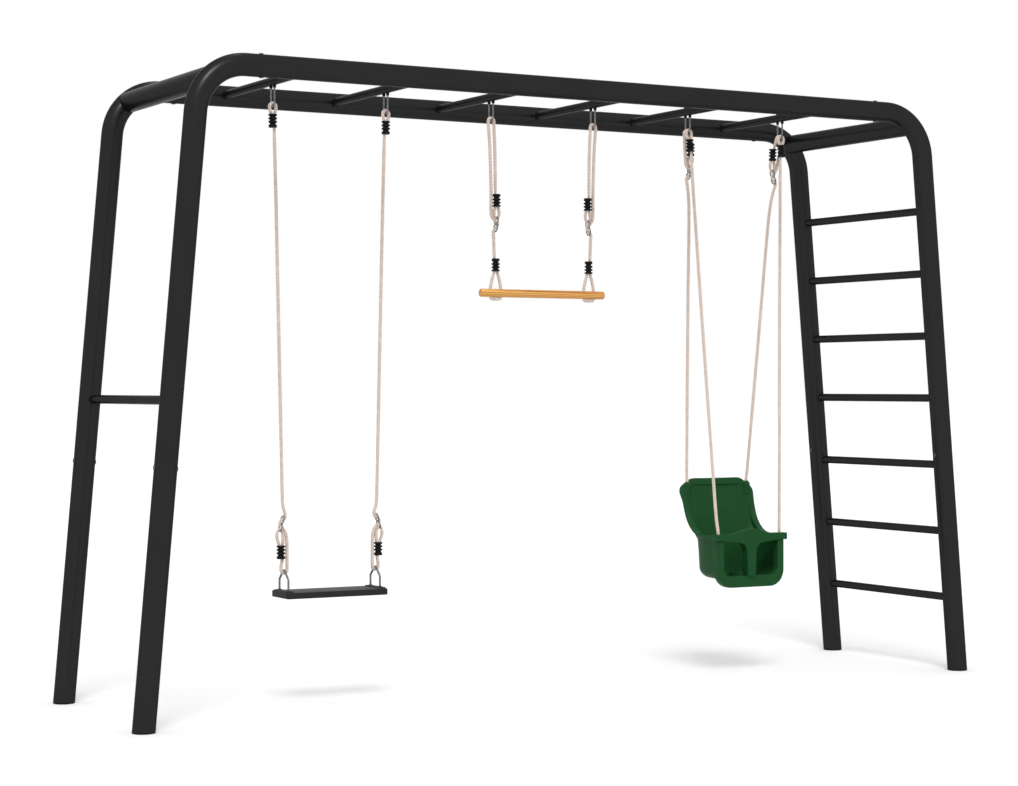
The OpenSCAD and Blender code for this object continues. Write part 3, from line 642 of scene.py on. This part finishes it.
TRAPEZE_ROUTE = [
    (-25.4, 0, -548, GRIP), (-25.4, 0, -590, GRIP), (-31.5, 0, -609), (-41.2, 0, -650),
    (-41.2, 0, -690), (-39.5, 0, -694.5), (-35, 0, -696.5), (-20, 0, -697), (-5, 0, -696.5),
    (0.2, 0, -694.5), (1.8, 0, -690), (1.8, 0, -650), (-8, 0, -609), (-14.2, 0, -590, GRIP),
    (-14.2, 0, -545, GRIP), (-13.4, 0, -525), (-12.6, 0, -505), (-11.6, 0, -480), (-10.8, 0, -462),
    (-10, 0, -450), (-9.8, 0, -439), (-13.4, 0, -430.5, GRIP), (-20, 0, -425.2, GRIP),
    (-26.6, 0, -419.4, PINCH), (-29.2, 0, -412, PINCH), (-27, 0, -405.9, PINCH),
    (-22.4, 0, -402, PINCH), (-15, 0, -397.4, PINCH), (-7.8, 0, -390.6, GRIP), (-3, 0, -382),
    (-0.8, 0, -371), (0.5, 0, -350), (0, 0, -300), (1.5, 0, -230), (6.5, 0, -100), (12, 0, -27),
    (12, 0, -18.4), (10.4, 0, -12.4), (6, 0, -8), (0, 0, -6.4), (-6, 0, -8), (-10.4, 0, -12.4),
    (-12, 0, -18.4), (-12, 0, -27), (-16.5, 0, -130), (-18.2, 0, -250), (-18.2, 0, -297, GRIP),
    (-18.2, 0, -342, GRIP), (-14.8, 0, -355), (-13.2, 0, -365), (-13.8, 0, -374.5, GRIP),
    (-15.6, 0, -382.3, PINCH), (-18.8, 0, -388.1, PINCH), (-24, 0, -390.3, PINCH),
    (-29.2, 0, -388.1, PINCH), (-32.4, 0, -382.3, PINCH), (-34.2, 0, -374.5, GRIP),
    (-34.8, 0, -365), (-33, 0, -355), (-29.4, 0, -342, GRIP), (-29.4, 0, -301, GRIP),
]
BACK_ROUTE = [
    (-80.8, 126, -1440), (-80.8, 126, -1421), (-78, 123, -1385), (-71, 111, -1240),
    (-62, 96, -1050), (-53, 79, -850), (-44, 63, -650), (-36, 46, -450), (-29.5, 35, -325),
    (-24.5, 30, -275), (-19, 26, -243), (-14, 23.5, -221), (-9.5, 21.5, -206),
    (-7.4, 20.5, -194.5), (-10.6, 20, -186.5, GRIP), (-17.2, 20, -182, GRIP),
    (-24.2, 20, -176.8, PINCH), (-27.6, 20, -169.8, PINCH), (-26, 20, -163.5, PINCH),
    (-21.8, 20, -159.4, PINCH), (-14.8, 20, -153.9, PINCH), (-8.2, 19.5, -146.5, GRIP),
    (-4.2, 19, -137.5), (-1.9, 18.3, -127.5), (0.6, 16.5, -112), (3.6, 14, -90), (8, 10.5, -60),
    (11.4, 7.5, -35), (12, 6.2, -13.6), (10.4, 6.2, -7.6), (6, 6.2, -3.2), (0, 6.2, -1.6),
    (-6, 6.2, -3.2), (-10.4, 6.2, -7.6), (-12.5, 6.2, -13.6), (-16.5, 9.5, -32),
    (-19.4, 14.6, -54, GRIP), (-19.4, 17, -99, GRIP), (-15.8, 18.6, -113), (-14.6, 19.4, -125),
    (-15.8, 19.8, -133.5, GRIP), (-17.6, 20, -140.2, PINCH), (-20.2, 20, -145.6, PINCH),
    (-24.6, 20, -147.8, PINCH), (-29, 20, -145.6, PINCH), (-31.8, 20, -140.2, PINCH),
    (-34, 20, -133.5, GRIP), (-35.4, 19.4, -125), (-34.8, 18.6, -113), (-30.6, 17, -99, GRIP),
    (-30.6, 15, -58, GRIP),
]
FRONT_ROUTE = [
    (3.6, -13.2, -82, GRIP), (3.6, -11, -41, GRIP), (8, -8.4, -31), (11.4, -6.4, -22),
    (12, -6.2, -13.6), (10.4, -6.2, -7.6), (6, -6.2, -3.2), (0, -6.2, -1.6), (-6, -6.2, -3.2),
    (-10.4, -6.2, -7.6), (-12, -6.2, -13.6), (-12.4, -6.4, -22), (-10.6, -8.4, -31),
    (-7.6, -11, -41, GRIP), (-7.6, -13.4, -86, GRIP), (-9.6, -15.5, -150), (-18, -26, -350),
    (-27, -37, -550), (-36, -48, -750), (-45, -60, -950), (-54, -72, -1150), (-63, -84, -1350),
    (-73, -97, -1560), (-77.8, -103, -1620), (-77.8, -103, -1653),
]


def at_hook(hinge, side, points):
    """Route points of the left (-1) or right (1) hook of a hanging thing, in the CAD frame."""
    p = np.asarray(points, float).reshape(-1, 3) * MM
    p[:, 0] = side * (p[:, 0] + HOOK_HALF)
    return p + hinge


def rope_mesh(path, press):
    """Strands laid round each other along the path, with UVs that follow each strand."""
    tangents, normals, sides = carried_frames(path)
    step = np.linalg.norm(path[1] - path[0])
    run = np.arange(len(path)) * step
    swell = math.sin(math.pi / STRANDS)
    offset = ROPE_OUTER / (1 + swell) * press[:, None]
    strand_r = swell * offset
    lean = math.atan(2 * math.pi * ROPE_OUTER / (1 + swell) / ROPE_LAY)
    angles = 2 * math.pi * np.arange(STRAND_SIDES) / STRAND_SIDES
    verts, faces, uvs = [], [], []
    for strand in range(STRANDS):
        turn = 2 * math.pi * (run / ROPE_LAY + strand / STRANDS)
        radial = np.cos(turn)[:, None] * normals + np.sin(turn)[:, None] * sides
        around = -np.sin(turn)[:, None] * normals + np.cos(turn)[:, None] * sides
        along = math.cos(lean) * tangents + math.sin(lean) * around
        across = np.cross(along, radial)
        centre = path + offset * radial
        rings = (
            centre[:, None, :]
            + strand_r[:, None] * np.cos(angles)[None, :, None] * radial[:, None, :]
            + strand_r[:, None] * np.sin(angles)[None, :, None] * across[:, None, :]
        )
        base = len(verts)
        verts.extend(rings.reshape(-1, 3))
        for i in range(len(path) - 1):
            for k in range(STRAND_SIDES):
                m = (k + 1) % STRAND_SIDES
                a = base + i * STRAND_SIDES
                b = a + STRAND_SIDES
                faces.append((a + k, a + m, b + m, b + k))
                u0, u1 = run[i] / ROPE_LAY, run[i + 1] / ROPE_LAY
                v0, v1 = k / STRAND_SIDES, (k + 1) / STRAND_SIDES
                uvs.extend([(u0, v0), (u0, v1), (u1, v1), (u1, v0)])
        last = base + (len(path) - 1) * STRAND_SIDES
        faces.append(tuple(base + k for k in range(STRAND_SIDES))[::-1])
        faces.append(tuple(last + k for k in range(STRAND_SIDES)))
        uvs.extend([(0.0, 0.0)] * (2 * STRAND_SIDES))
    return verts, faces, uvs


def press_along(path, points, route):
    """The part of its thickness that the rope keeps at each point of its path."""
    at, index = [], 0
    for point in points:
        reach = path[index : index + SEARCH]
        index += int(np.argmin(np.linalg.norm(reach - point, axis=1)))
        at.append(index)
    kept = [point[3] if len(point) > 3 else 1.0 for point in route]
    return np.interp(np.arange(len(path)), at, kept)


def make_rope(name, hinge, side, route, body):
    """One laid rope, in place of the CAD rope of that name."""
    points = at_hook(hinge, side, [p[:3] for p in route])
    path = smooth_path(points, ROPE_STEP)
    verts, faces, uvs = rope_mesh(path, press_along(path, points, route))
    piece = add_piece(name + "_laid", verts, faces, ROPE, body, 80.0, uvs)
    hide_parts(name)


# ---- ferrules and adjusters --------------------------------------------------------------------

STRAND_GAP = 5.6 * MM  # half the distance between the two ropes in a clamp
FERRULE_H = 49 * MM
FERRULE_SIDES = 40


def ferrule_rings():
    """Rings of a ribbed clamp round two ropes, inside and out, top centre at the origin."""
    bore, core = 5.2 * MM, 5.8 * MM
    rib_r, end_r = 15.8 * MM, 15.2 * MM
    rib_h, rib_step, end_h = 6.8 * MM, 12.4 * MM, 10.5 * MM
    soft = 1.1 * MM
    lip, flare = 0.8 * MM, 0.6 * MM

    def disc(radius, z):
        return [(x, y, z) for x, y in circle(radius, FERRULE_SIDES)]

    def slot(radius, z):
        """A disc pulled apart along X; the points in its middle stay there."""
        ring = disc(radius, z)
        return [(x + STRAND_GAP * np.sign(round(x / MM, 6)), y, z) for x, y, z in ring]

    def rib(radius, top, height):
        edge = [
            (radius - soft * (1 - math.sin(w)), top - soft * (1 - math.cos(w)))
            for w in np.linspace(0, math.pi / 2, 4)
        ]
        low = [(r, 2 * top - height - z) for r, z in reversed(edge)]
        return [disc(r, z) for r, z in edge + low]

    rings = [slot(bore, -lip), slot(bore + flare, 0)]
    for i in range(3):
        rings += rib(rib_r, -i * rib_step, rib_h)
        bottom = -(i + 1) * rib_step if i < 2 else -FERRULE_H + end_h
        rings += [slot(core, -i * rib_step - rib_h), slot(core, bottom)]
    rings += rib(end_r, -FERRULE_H + end_h, end_h)
    rings += [slot(bore + flare, -FERRULE_H), slot(bore, -FERRULE_H + lip)]
    return rings


FERRULE = loft([ring[::-1] for ring in ferrule_rings()], closed=True)


def ferrule_place(hinge, side, at, flip=False, tilt=0.0):
    """Where a ferrule's top centre goes; flip puts its thick ring on top."""
    turn = Matrix.Rotation(math.radians(tilt), 4, "X")
    if flip:
        turn = turn @ Matrix.Rotation(math.pi, 4, "X")
    return Matrix.Translation(at_hook(hinge, side, at)[0]) @ turn


ADJUSTER_ROD = 5.5 * MM
ADJUSTER_R = 14.5 * MM
ADJUSTER_STEP = 27.5 * MM


def add_adjuster(shape, hinge, side, top, tilt):
    """Two rod rings welded one under the other; tilt swings their foot outwards."""
    place = Matrix.Translation(at_hook(hinge, side, top)[0]) @ Matrix.Rotation(
        math.radians(-side * tilt), 4, "Y"
    )
    outline = circle(ADJUSTER_ROD / 2, 16)
    ring = np.array([(0, y, z) for y, z in circle(ADJUSTER_R, 48)])
    for i in range(2):
        path = ring - (0, 0, ADJUSTER_R + i * ADJUSTER_STEP)
        shape.add(*sweep(path, outline, closed=True, start=(1, 0, 0)), place)
    waist = -ADJUSTER_R - ADJUSTER_STEP / 2
    for y in (-1, 1):
        bead = ball((0, y * 4.6 * MM, waist), (3.3 * MM, 2.6 * MM, 2.9 * MM), 14)
        shape.add(*bead, place)


def clamps_and_rings(thing, word, clamps, rings):
    """The ferrules and the adjuster on one side of a hanging thing, as two pieces."""
    clamps = clamps.piece(f"{thing}_ferrules_{word}", PLASTIC, thing)
    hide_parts(thing + "_ferrules")
    rings = rings.piece(f"{thing}_adjuster_{word}", STEEL, thing)
    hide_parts(thing + "_adjusters")
    return [clamps, rings]


# ---- swing -------------------------------------------------------------------------------------


def make_swing():
    for side, word in SIDES:
        clamps, rings = Shape(), Shape()
        for at in ((0, 0, -45), (-31.7, 0, -1609)):
            clamps.add(*FERRULE, ferrule_place(SWING, side, at))
        add_adjuster(rings, SWING, side, (-41, 0, -1502.5), 15.0)
        on_it = clamps_and_rings("swing", word, clamps, rings)
        make_rope("swing_rope_" + word, SWING, side, SWING_ROUTE, "swing")
    make_stirrups()
    make_swing_seat()


STIRRUP_S = 184 * MM  # from the seat's middle
STIRRUP_HALF = 40 * MM
STIRRUP_ROD = 8 * MM
STIRRUP_BEND = 7 * MM
STIRRUP_APEX = 11 * MM
SHOULDER_Z = 464 * MM
SEAT_TOP = 424 * MM
ROOTED = 4 * MM  # how far the stirrup's feet go into the seat


def make_stirrups():
    """Two bent rods like a house's outline; the arc on top is centred on the seat's hinge."""
    shoulder = SHOULDER_Z - SEAT_HINGE[2]
    foot = SEAT_TOP - ROOTED - SEAT_HINGE[2]
    reach = math.hypot(STIRRUP_HALF, shoulder)
    rise = math.asin(STIRRUP_APEX / reach) + math.atan2(-shoulder, STIRRUP_HALF)
    corners = [
        (0, -STIRRUP_HALF, foot),
        (0, -STIRRUP_HALF, shoulder),
        (0, 0, STIRRUP_APEX / math.cos(rise)),
        (0, STIRRUP_HALF, shoulder),
        (0, STIRRUP_HALF, foot),
    ]
    radii = [STIRRUP_BEND, STIRRUP_APEX, STIRRUP_BEND]
    path = resample(filleted(corners, radii, steps=10), 2 * MM)
    for side, word in SIDES:
        shape = Shape()
        place = Matrix.Translation(SEAT_HINGE + np.array([side * STIRRUP_S, 0, 0]))
        shape.add(*sweep(path, circle(STIRRUP_ROD / 2, 20), start=(1, 0, 0)), place)
        piece = shape.piece("stirrup_" + word + "_bent", STEEL, "swing_seat", 50.0)
        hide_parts("stirrup_" + word)


SEAT_EDGE = 2.6 * MM
SEAT_RISE = 4 * MM  # height of what stands on the seat's top
SEAT_RIBS = range(-3, 4)
SEAT_RIB_PITCH = 44 * MM
SEAT_BOSS = [(9, 0), (8.8, 1.8), (7.8, 3.0), (6.0, 3.8), (4.2, 4.0)]


def make_swing_seat():
    """Rubber seat: a soft-edged slab, ribs underneath, a raised bar and bosses at each stirrup."""
    low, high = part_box("swing_seat")
    length, depth = high[0] - low[0], high[1] - low[1]
    x, y, _ = box_centre("swing_seat")
    top = high[2] - SEAT_RISE
    shape = Shape()
    outline = rounded_outline(length, depth, 11 * MM, 7)
    profile = soft_edges(top - low[2], SEAT_EDGE)
    shape.add(*slab(outline, profile), Matrix.Translation((x, y, low[2])))
    for side in (-1, 1):
        bar_x = x + side * STIRRUP_S
        sunk = 3 * MM
        bar = rounded_outline(30 * MM, depth - 22 * MM, 9 * MM, 6)
        profile = soft_edges(SEAT_RISE + sunk, 1.6 * MM)
        shape.add(*slab(bar, profile), Matrix.Translation((bar_x, y, top - sunk)))
        for end in (-1, 1):
            boss = lathe([(r * MM, z * MM) for r, z in SEAT_BOSS])
            at = (bar_x, y + end * STIRRUP_HALF, high[2] - 1 * MM)
            shape.add(*boss, Matrix.Translation(at))
    rib = slab(rounded_outline(5 * MM, depth - 40 * MM, 2 * MM, 3), soft_edges(6 * MM, 0.8 * MM, 3))
    for k in SEAT_RIBS:
        shape.add(*rib, Matrix.Translation((x + k * SEAT_RIB_PITCH, y, low[2] + 0.2 * MM)))
    seat = shape.piece("swing_seat_moulded", RUBBER, "swing_seat", 40.0)
    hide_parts("swing_seat")


# ---- trapeze -----------------------------------------------------------------------------------

BAR_HOLES = (186.5 * MM, 229.5 * MM)  # from the bar's middle
HOLE_R = 6.6 * MM
HOLE_MOUTH_R = 9 * MM


def make_trapeze():
    for side, word in SIDES:
        clamps, rings = Shape(), Shape()
        for at in ((-23.8, 0, -344), (-19.8, 0, -591)):
            clamps.add(*FERRULE, ferrule_place(TRAPEZE, side, at, flip=True))
        add_adjuster(rings, TRAPEZE, side, (-24.8, 0, -383), 6.5)
        on_it = clamps_and_rings("trapeze", word, clamps, rings)
        make_rope("trapeze_rope_" + word, TRAPEZE, side, TRAPEZE_ROUTE, "trapeze")
    make_trapeze_bar()


def make_trapeze_bar():
    """A turned wooden dowel with rounded ends and drilled rope holes."""
    low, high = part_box("trapeze_bar")
    centre = box_centre("trapeze_bar")
    radius = (high[2] - low[2]) / 2
    half = (high[0] - low[0]) / 2
    round_r = 7 * MM
    end = [
        (radius - round_r * (1 - math.cos(w)), half - round_r * (1 - math.sin(w)))
        for w in np.linspace(math.pi / 2, 0, 7)
    ]
    stops = np.linspace(end[-1][1], -end[-1][1], 60)
    profile = end[:-1] + [(radius, z) for z in stops] + [(r, -z) for r, z in reversed(end[:-1])]
    turn = Matrix.Translation(centre) @ Matrix.Rotation(math.pi / 2, 4, "Y")
    shape = Shape()
    shape.add(*lathe(profile, 48), turn)
    bar = shape.piece("trapeze_bar_turned", PINE, "trapeze", 40.0)
    mouth = [
        (HOLE_R, radius - 3 * MM),
        (HOLE_MOUTH_R, radius - 0.6 * MM),
        (HOLE_MOUTH_R, radius + 2 * MM),
    ]
    drill = lathe([(r, -z) for r, z in reversed(mouth)] + mouth, 24)
    cutter = Shape()
    for side in (-1, 1):
        for along in BAR_HOLES:
            cutter.add(*drill, Matrix.Translation(centre + np.array([side * along, 0, 0])))
    cut_with(bar, cutter)
    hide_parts("trapeze_bar")


# ---- bucket seat -------------------------------------------------------------------------------

# Levels of the wall, from the pan up: height, half width, front edge, back face
SHELL_LEVELS = [
    (388, 152, -140, 32),
    (430, 155, -140, 37),
    (500, 157, -140, 42),
    (545, 158, -140, 48),
    (566, 160, -46, 54),
    (586, 162, 6, 60),
    (623, 164, 36, 70),
    (667, 165, 54, 80),
    (707, 166, 64, 90),
    (740, 170, 74, 96),
    (762, 146, 86, 101),
    (778, 122, 93, 104),
]
SHELL_BOTTOM = SHELL_LEVELS[0][0]
SHELL_TOP = SHELL_LEVELS[-1][0]
SHELL_WALL = 6.0
SHELL_COLUMNS = 72
BOTTOM_R = 40.0


def shell_level(z):
    """Half width, front edge and back of the wall at a height, all in millimetres."""
    table = np.array(SHELL_LEVELS, float)
    return [float(np.interp(z, table[:, 0], table[:, i])) for i in (1, 2, 3)]


def plan_ring(z, inset):
    """The wall's plan at a height, from the left front edge round the back to the right."""
    half, front, back = shell_level(z)
    lift = max(0.0, BOTTOM_R - (z - SHELL_BOTTOM))
    round_in = BOTTOM_R - math.sqrt(max(0.0, BOTTOM_R**2 - lift**2))
    half -= round_in + inset
    back -= round_in + inset
    depth = back - front
    # A superellipse, squarer in the deep tub than in the shallow backrest
    square = 2 / (2.6 + 2.2 * min(1.0, max(0.0, (depth - 20) / 120)))
    ring = []
    for k in range(SHELL_COLUMNS + 1):
        w = math.pi * k / SHELL_COLUMNS
        side = math.copysign(abs(math.cos(w)) ** square, -math.cos(w))
        ring.append((half * side, front + depth * abs(math.sin(w)) ** square, z))
    return ring


def shell_wall(shape, place):
    """The tub and backrest as one closed sheet of even thickness."""
    curved = np.linspace(SHELL_BOTTOM, SHELL_BOTTOM + 58, 14)
    straight = np.linspace(SHELL_BOTTOM + 64, SHELL_TOP, 60)
    heights = np.concatenate([curved, straight])
    outer = [plan_ring(z, 0.0) for z in heights]
    inner = [plan_ring(SHELL_BOTTOM + SHELL_WALL, SHELL_WALL)]
    inner += [plan_ring(z, SHELL_WALL) for z in heights[1:]]
    n = SHELL_COLUMNS + 1
    count = len(heights)
    verts = [p for ring in outer + inner for p in ring]
    low_in = count * n
    faces = []
    for i in range(count - 1):
        for k in range(n - 1):
            a, b = i * n + k, (i + 1) * n + k
            faces.append((a, b, b + 1, a + 1))
            faces.append((low_in + a, low_in + a + 1, low_in + b + 1, low_in + b))
        for k, flip in ((0, False), (n - 1, True)):
            strip = (i * n + k, low_in + i * n + k, low_in + (i + 1) * n + k, (i + 1) * n + k)
            faces.append(strip[::-1] if flip else strip)
    top = (count - 1) * n
    for k in range(n - 1):
        faces.append((top + k, low_in + top + k, low_in + top + k + 1, top + k + 1))
    faces.append(tuple(range(n)))
    faces.append(tuple(low_in + k for k in reversed(range(n))))
    faces.append((0, n - 1, low_in + n - 1, low_in))
    shape.add([(x * MM, y * MM, z * MM) for x, y, z in verts], faces, place)


# Middle of the rolled edge's right half, from the top of the backrest: X, Y and Z in millimetres
RIM_ROUTE = [
    (0, 97, 774), (60, 97, 774), (108, 97, 774), (122, 97, 771), (144, 96, 757), (160, 94, 746),
    (166, 89, 734), (164, 81, 716), (161, 73, 694), (160, 63, 662), (159, 47, 625),
    (158, 17, 589), (157, -20, 567), (157, -60, 560), (156, -104, 558), (156, -146, 556),
]


def shell_rim(shape, place):
    """The rolled edge: down both wings and forward to the guard bar."""
    half = smooth_path(np.array(RIM_ROUTE, float), 4.0)
    left = half[::-1] * np.array([-1, 1, 1])
    path = np.vstack([left[:-1], half]) * MM
    outline = rounded_outline(13 * MM, 30 * MM, 4.5 * MM, 5)
    shape.add(*sweep(path, outline, start=(0, 1, 0)), place)


FRONT_Y = -160.0
FRONT_T = 34.0
FRONT_TOP = 545.0
GUARD_PROUD = 6.0


def front_outline(half, low, high, corner):
    """A panel's outline in X and Z: square on top, with round corners below."""
    return (
        arc_points((half - corner, low + corner), corner, -90, 0, 12)
        + [(half, high), (-half, high)]
        + arc_points((-half + corner, low + corner), corner, 180, 270, 12)
    )


def shell_front(shape, place):
    """The U-shaped frame round the leg openings, open on top where the guard bar lies."""
    outer = front_outline(161, 357, FRONT_TOP, 66)
    inner = front_outline(131, 403, FRONT_TOP, 34)
    back = FRONT_Y + FRONT_T
    section = ((outer, FRONT_Y), (outer, back), (inner, back), (inner, FRONT_Y))
    n = len(outer)
    verts = [(x * MM, y * MM, z * MM) for ring, y in section for x, z in ring]
    faces = []
    top = [i for i, (x, z) in enumerate(outer) if z == FRONT_TOP]
    for i in range(4):
        j = (i + 1) % 4
        for k in range(n):
            m = (k + 1) % n
            if k in top and m in top:
                continue
            faces.append((i * n + k, i * n + m, j * n + m, j * n + k))
    for k in top:
        ring = tuple(i * n + k for i in range(4))
        faces.append(ring if k == top[1] else ring[::-1])
    shape.add(verts, faces, place)


# Centres and sizes of the ridge in the pan and of the swells and bosses at the rope corners
RIDGE = ((0, -70, 394), (24, 62, 20))
SWELL = ((148, 85, 738), (18, 14, 40))
BOSS_AT = (147, 86)
BOSS = [(12, 740), (16, 748), (16, 765), (13, 769)]


def make_bucket_shell():
    """Tub, backrest, rolled edge and front frame, welded into one moulding."""
    place = Matrix.Translation((BUCKET[0], 0, 0))
    shape = Shape()
    shell_wall(shape, place)
    shell_rim(shape, place)
    shell_front(shape, place)
    centre, radii = np.array(RIDGE) * MM
    shape.add(*ball(centre, radii, 24), place)
    for side in (-1, 1):
        corner = Matrix.Translation((side * BOSS_AT[0] * MM, BOSS_AT[1] * MM, 0))
        shape.add(*lathe([(r * MM, z * MM) for r, z in BOSS]), place @ corner)
        centre, radii = np.array(SWELL) * MM
        shape.add(*ball(centre * (side, 1, 1), radii, 28), place)
    shell = shape.piece("bucket_shell_moulded", GREEN, "bucket", 60.0)
    remesh(shell, 2.6 * MM, 5)
    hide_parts("bucket_shell")


def guard_outline():
    """The T-shaped guard in X and Z, in millimetres, counter-clockwise from the post's foot."""
    half = [(18, 398), (20, 440), (22.5, 490), (25, 512), (31, 525), (42, 533), (80, 539)]
    arm = [(131, 544), (174, 545), (174, 572), (110, 572), (84, 573.5), (60, 580), (40, 587)]
    right = half + arm + [(20, 591.5), (0, 593)]
    left = [(-x, z) for x, z in reversed(right[:-1])]
    return right + left


def make_bucket_guard():
    """The bar across the front and its post, as one softened moulding."""
    place = Matrix.Translation((BUCKET[0], 0, 0))
    faces_y = (FRONT_Y + FRONT_T, FRONT_Y - GUARD_PROUD)
    shape = Shape()
    rings = [[(x * MM, y * MM, z * MM) for x, z in guard_outline()] for y in faces_y]
    shape.add(*loft(rings), place)
    guard = shape.piece("bucket_guard_moulded", GREEN, "bucket", 60.0)
    remesh(guard, 2.2 * MM, 6)
    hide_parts("bucket_guard")


def make_bucket():
    for side, word in SIDES:
        clamps, rings = Shape(), Shape()
        clamps.add(*FERRULE, ferrule_place(BUCKET, side, (-2, -10.9, -39), tilt=-3.0))
        clamps.add(*FERRULE, ferrule_place(BUCKET, side, (-25, 14.5, -53), tilt=3.0))
        add_adjuster(rings, BUCKET, side, (-26, 20, -140.5), 12.0)
        on_it = clamps_and_rings("bucket", word, clamps, rings)
        make_rope("bucket_back_rope_" + word, BUCKET, side, BACK_ROUTE, "bucket")
        make_rope("bucket_front_rope_" + word, BUCKET, side, FRONT_ROUTE, "bucket")
    make_bucket_shell()
    make_bucket_guard()


# ---- frame details -----------------------------------------------------------------------------


SMALL_WELD = 2.2 * MM
LARGE_WELD = 5.0 * MM
LARGE_WELD_RUNG = 4


def weld_curve(x, z, side, along):
    """Where a rung of centre (x, z) meets the tube at y = side * HALF_DEPTH.

    along is the tube's direction in the X-Z plane.
    """
    points = []
    across = (-along[1], along[0])
    for w in np.linspace(0, 2 * math.pi, 40, endpoint=False):
        dx, dz = RUNG_R * math.cos(w), RUNG_R * math.sin(w)
        off = dx * across[0] + dz * across[1]
        y = HALF_DEPTH - math.sqrt(RAIL_R**2 - off**2)
        points.append((x + dx, side * y, z + dz))
    return np.array(points)


def make_welds():
    """A small fillet weld round both ends of every rung, larger on the mid ladder rung."""
    shape = Shape()
    small = circle(SMALL_WELD, 10)
    large = circle(LARGE_WELD, 12)

    def weld(node, along, outline):
        x, _, z = box_centre(node)
        for side in (-1, 1):
            shape.add(*sweep(weld_curve(x, z, side, along), outline, closed=True))

    lean_x, lean_z = math.sin(LEG_LEAN), -math.cos(LEG_LEAN)
    for i in range(1, 7):
        weld(f"overhead_rung_{i}", (1, 0), small)
    for i in range(1, 8):
        weld(f"ladder_rung_{i}", (lean_x, lean_z), large if i == LARGE_WELD_RUNG else small)
    weld("side_bar", (-lean_x, lean_z), small)
    welds = shape.piece("rung_welds", POWDER, "frame", 80.0)


# ---- stage -------------------------------------------------------------------------------------


def add_sun(name, energy, spread, tilt, shadow):
    """A soft distant lamp; spread and the tilt about X and Y are in degrees."""
    lamp = bpy.data.lights.new(name, "SUN")
    lamp.energy = energy
    lamp.angle = math.radians(spread)
    lamp.use_shadow = shadow
    holder = bpy.data.objects.new(name, lamp)
    holder.rotation_euler = (math.radians(tilt[0]), math.radians(tilt[1]), 0)
    bpy.context.collection.objects.link(holder)


FLOOR_REACH = 60.0


def make_stage():
    """A pale floor under a white sky; the rim lamp shines from behind and casts no shadow."""
    mesh = bpy.data.meshes.new("floor")
    r = FLOOR_REACH
    mesh.from_pydata([(-r, -r, 0), (r, -r, 0), (r, r, 0), (-r, r, 0)], [], [(0, 1, 2, 3)])
    floor = bpy.data.objects.new("floor", mesh)
    bpy.context.collection.objects.link(floor)
    paper = Material("paper", (0.745, 0.745, 0.745), 0.9, specular=0.1)
    mesh.materials.append(paper.material)

    world = bpy.data.worlds.new("studio")
    world.use_nodes = True
    sky = world.node_tree.nodes["Background"].inputs
    sky["Color"].default_value = (1.0, 1.0, 1.0, 1.0)
    sky["Strength"].default_value = 1.0
    bpy.context.scene.world = world

    add_sun("top", 1.6, 20, (36.5, -21), shadow=True)
    add_sun("rim", 0.35, 8, (-23, 14), shadow=False)
    bpy.context.scene.view_settings.view_transform = "Standard"


make_swing()
make_trapeze()
make_bucket()
make_welds()
make_stage()
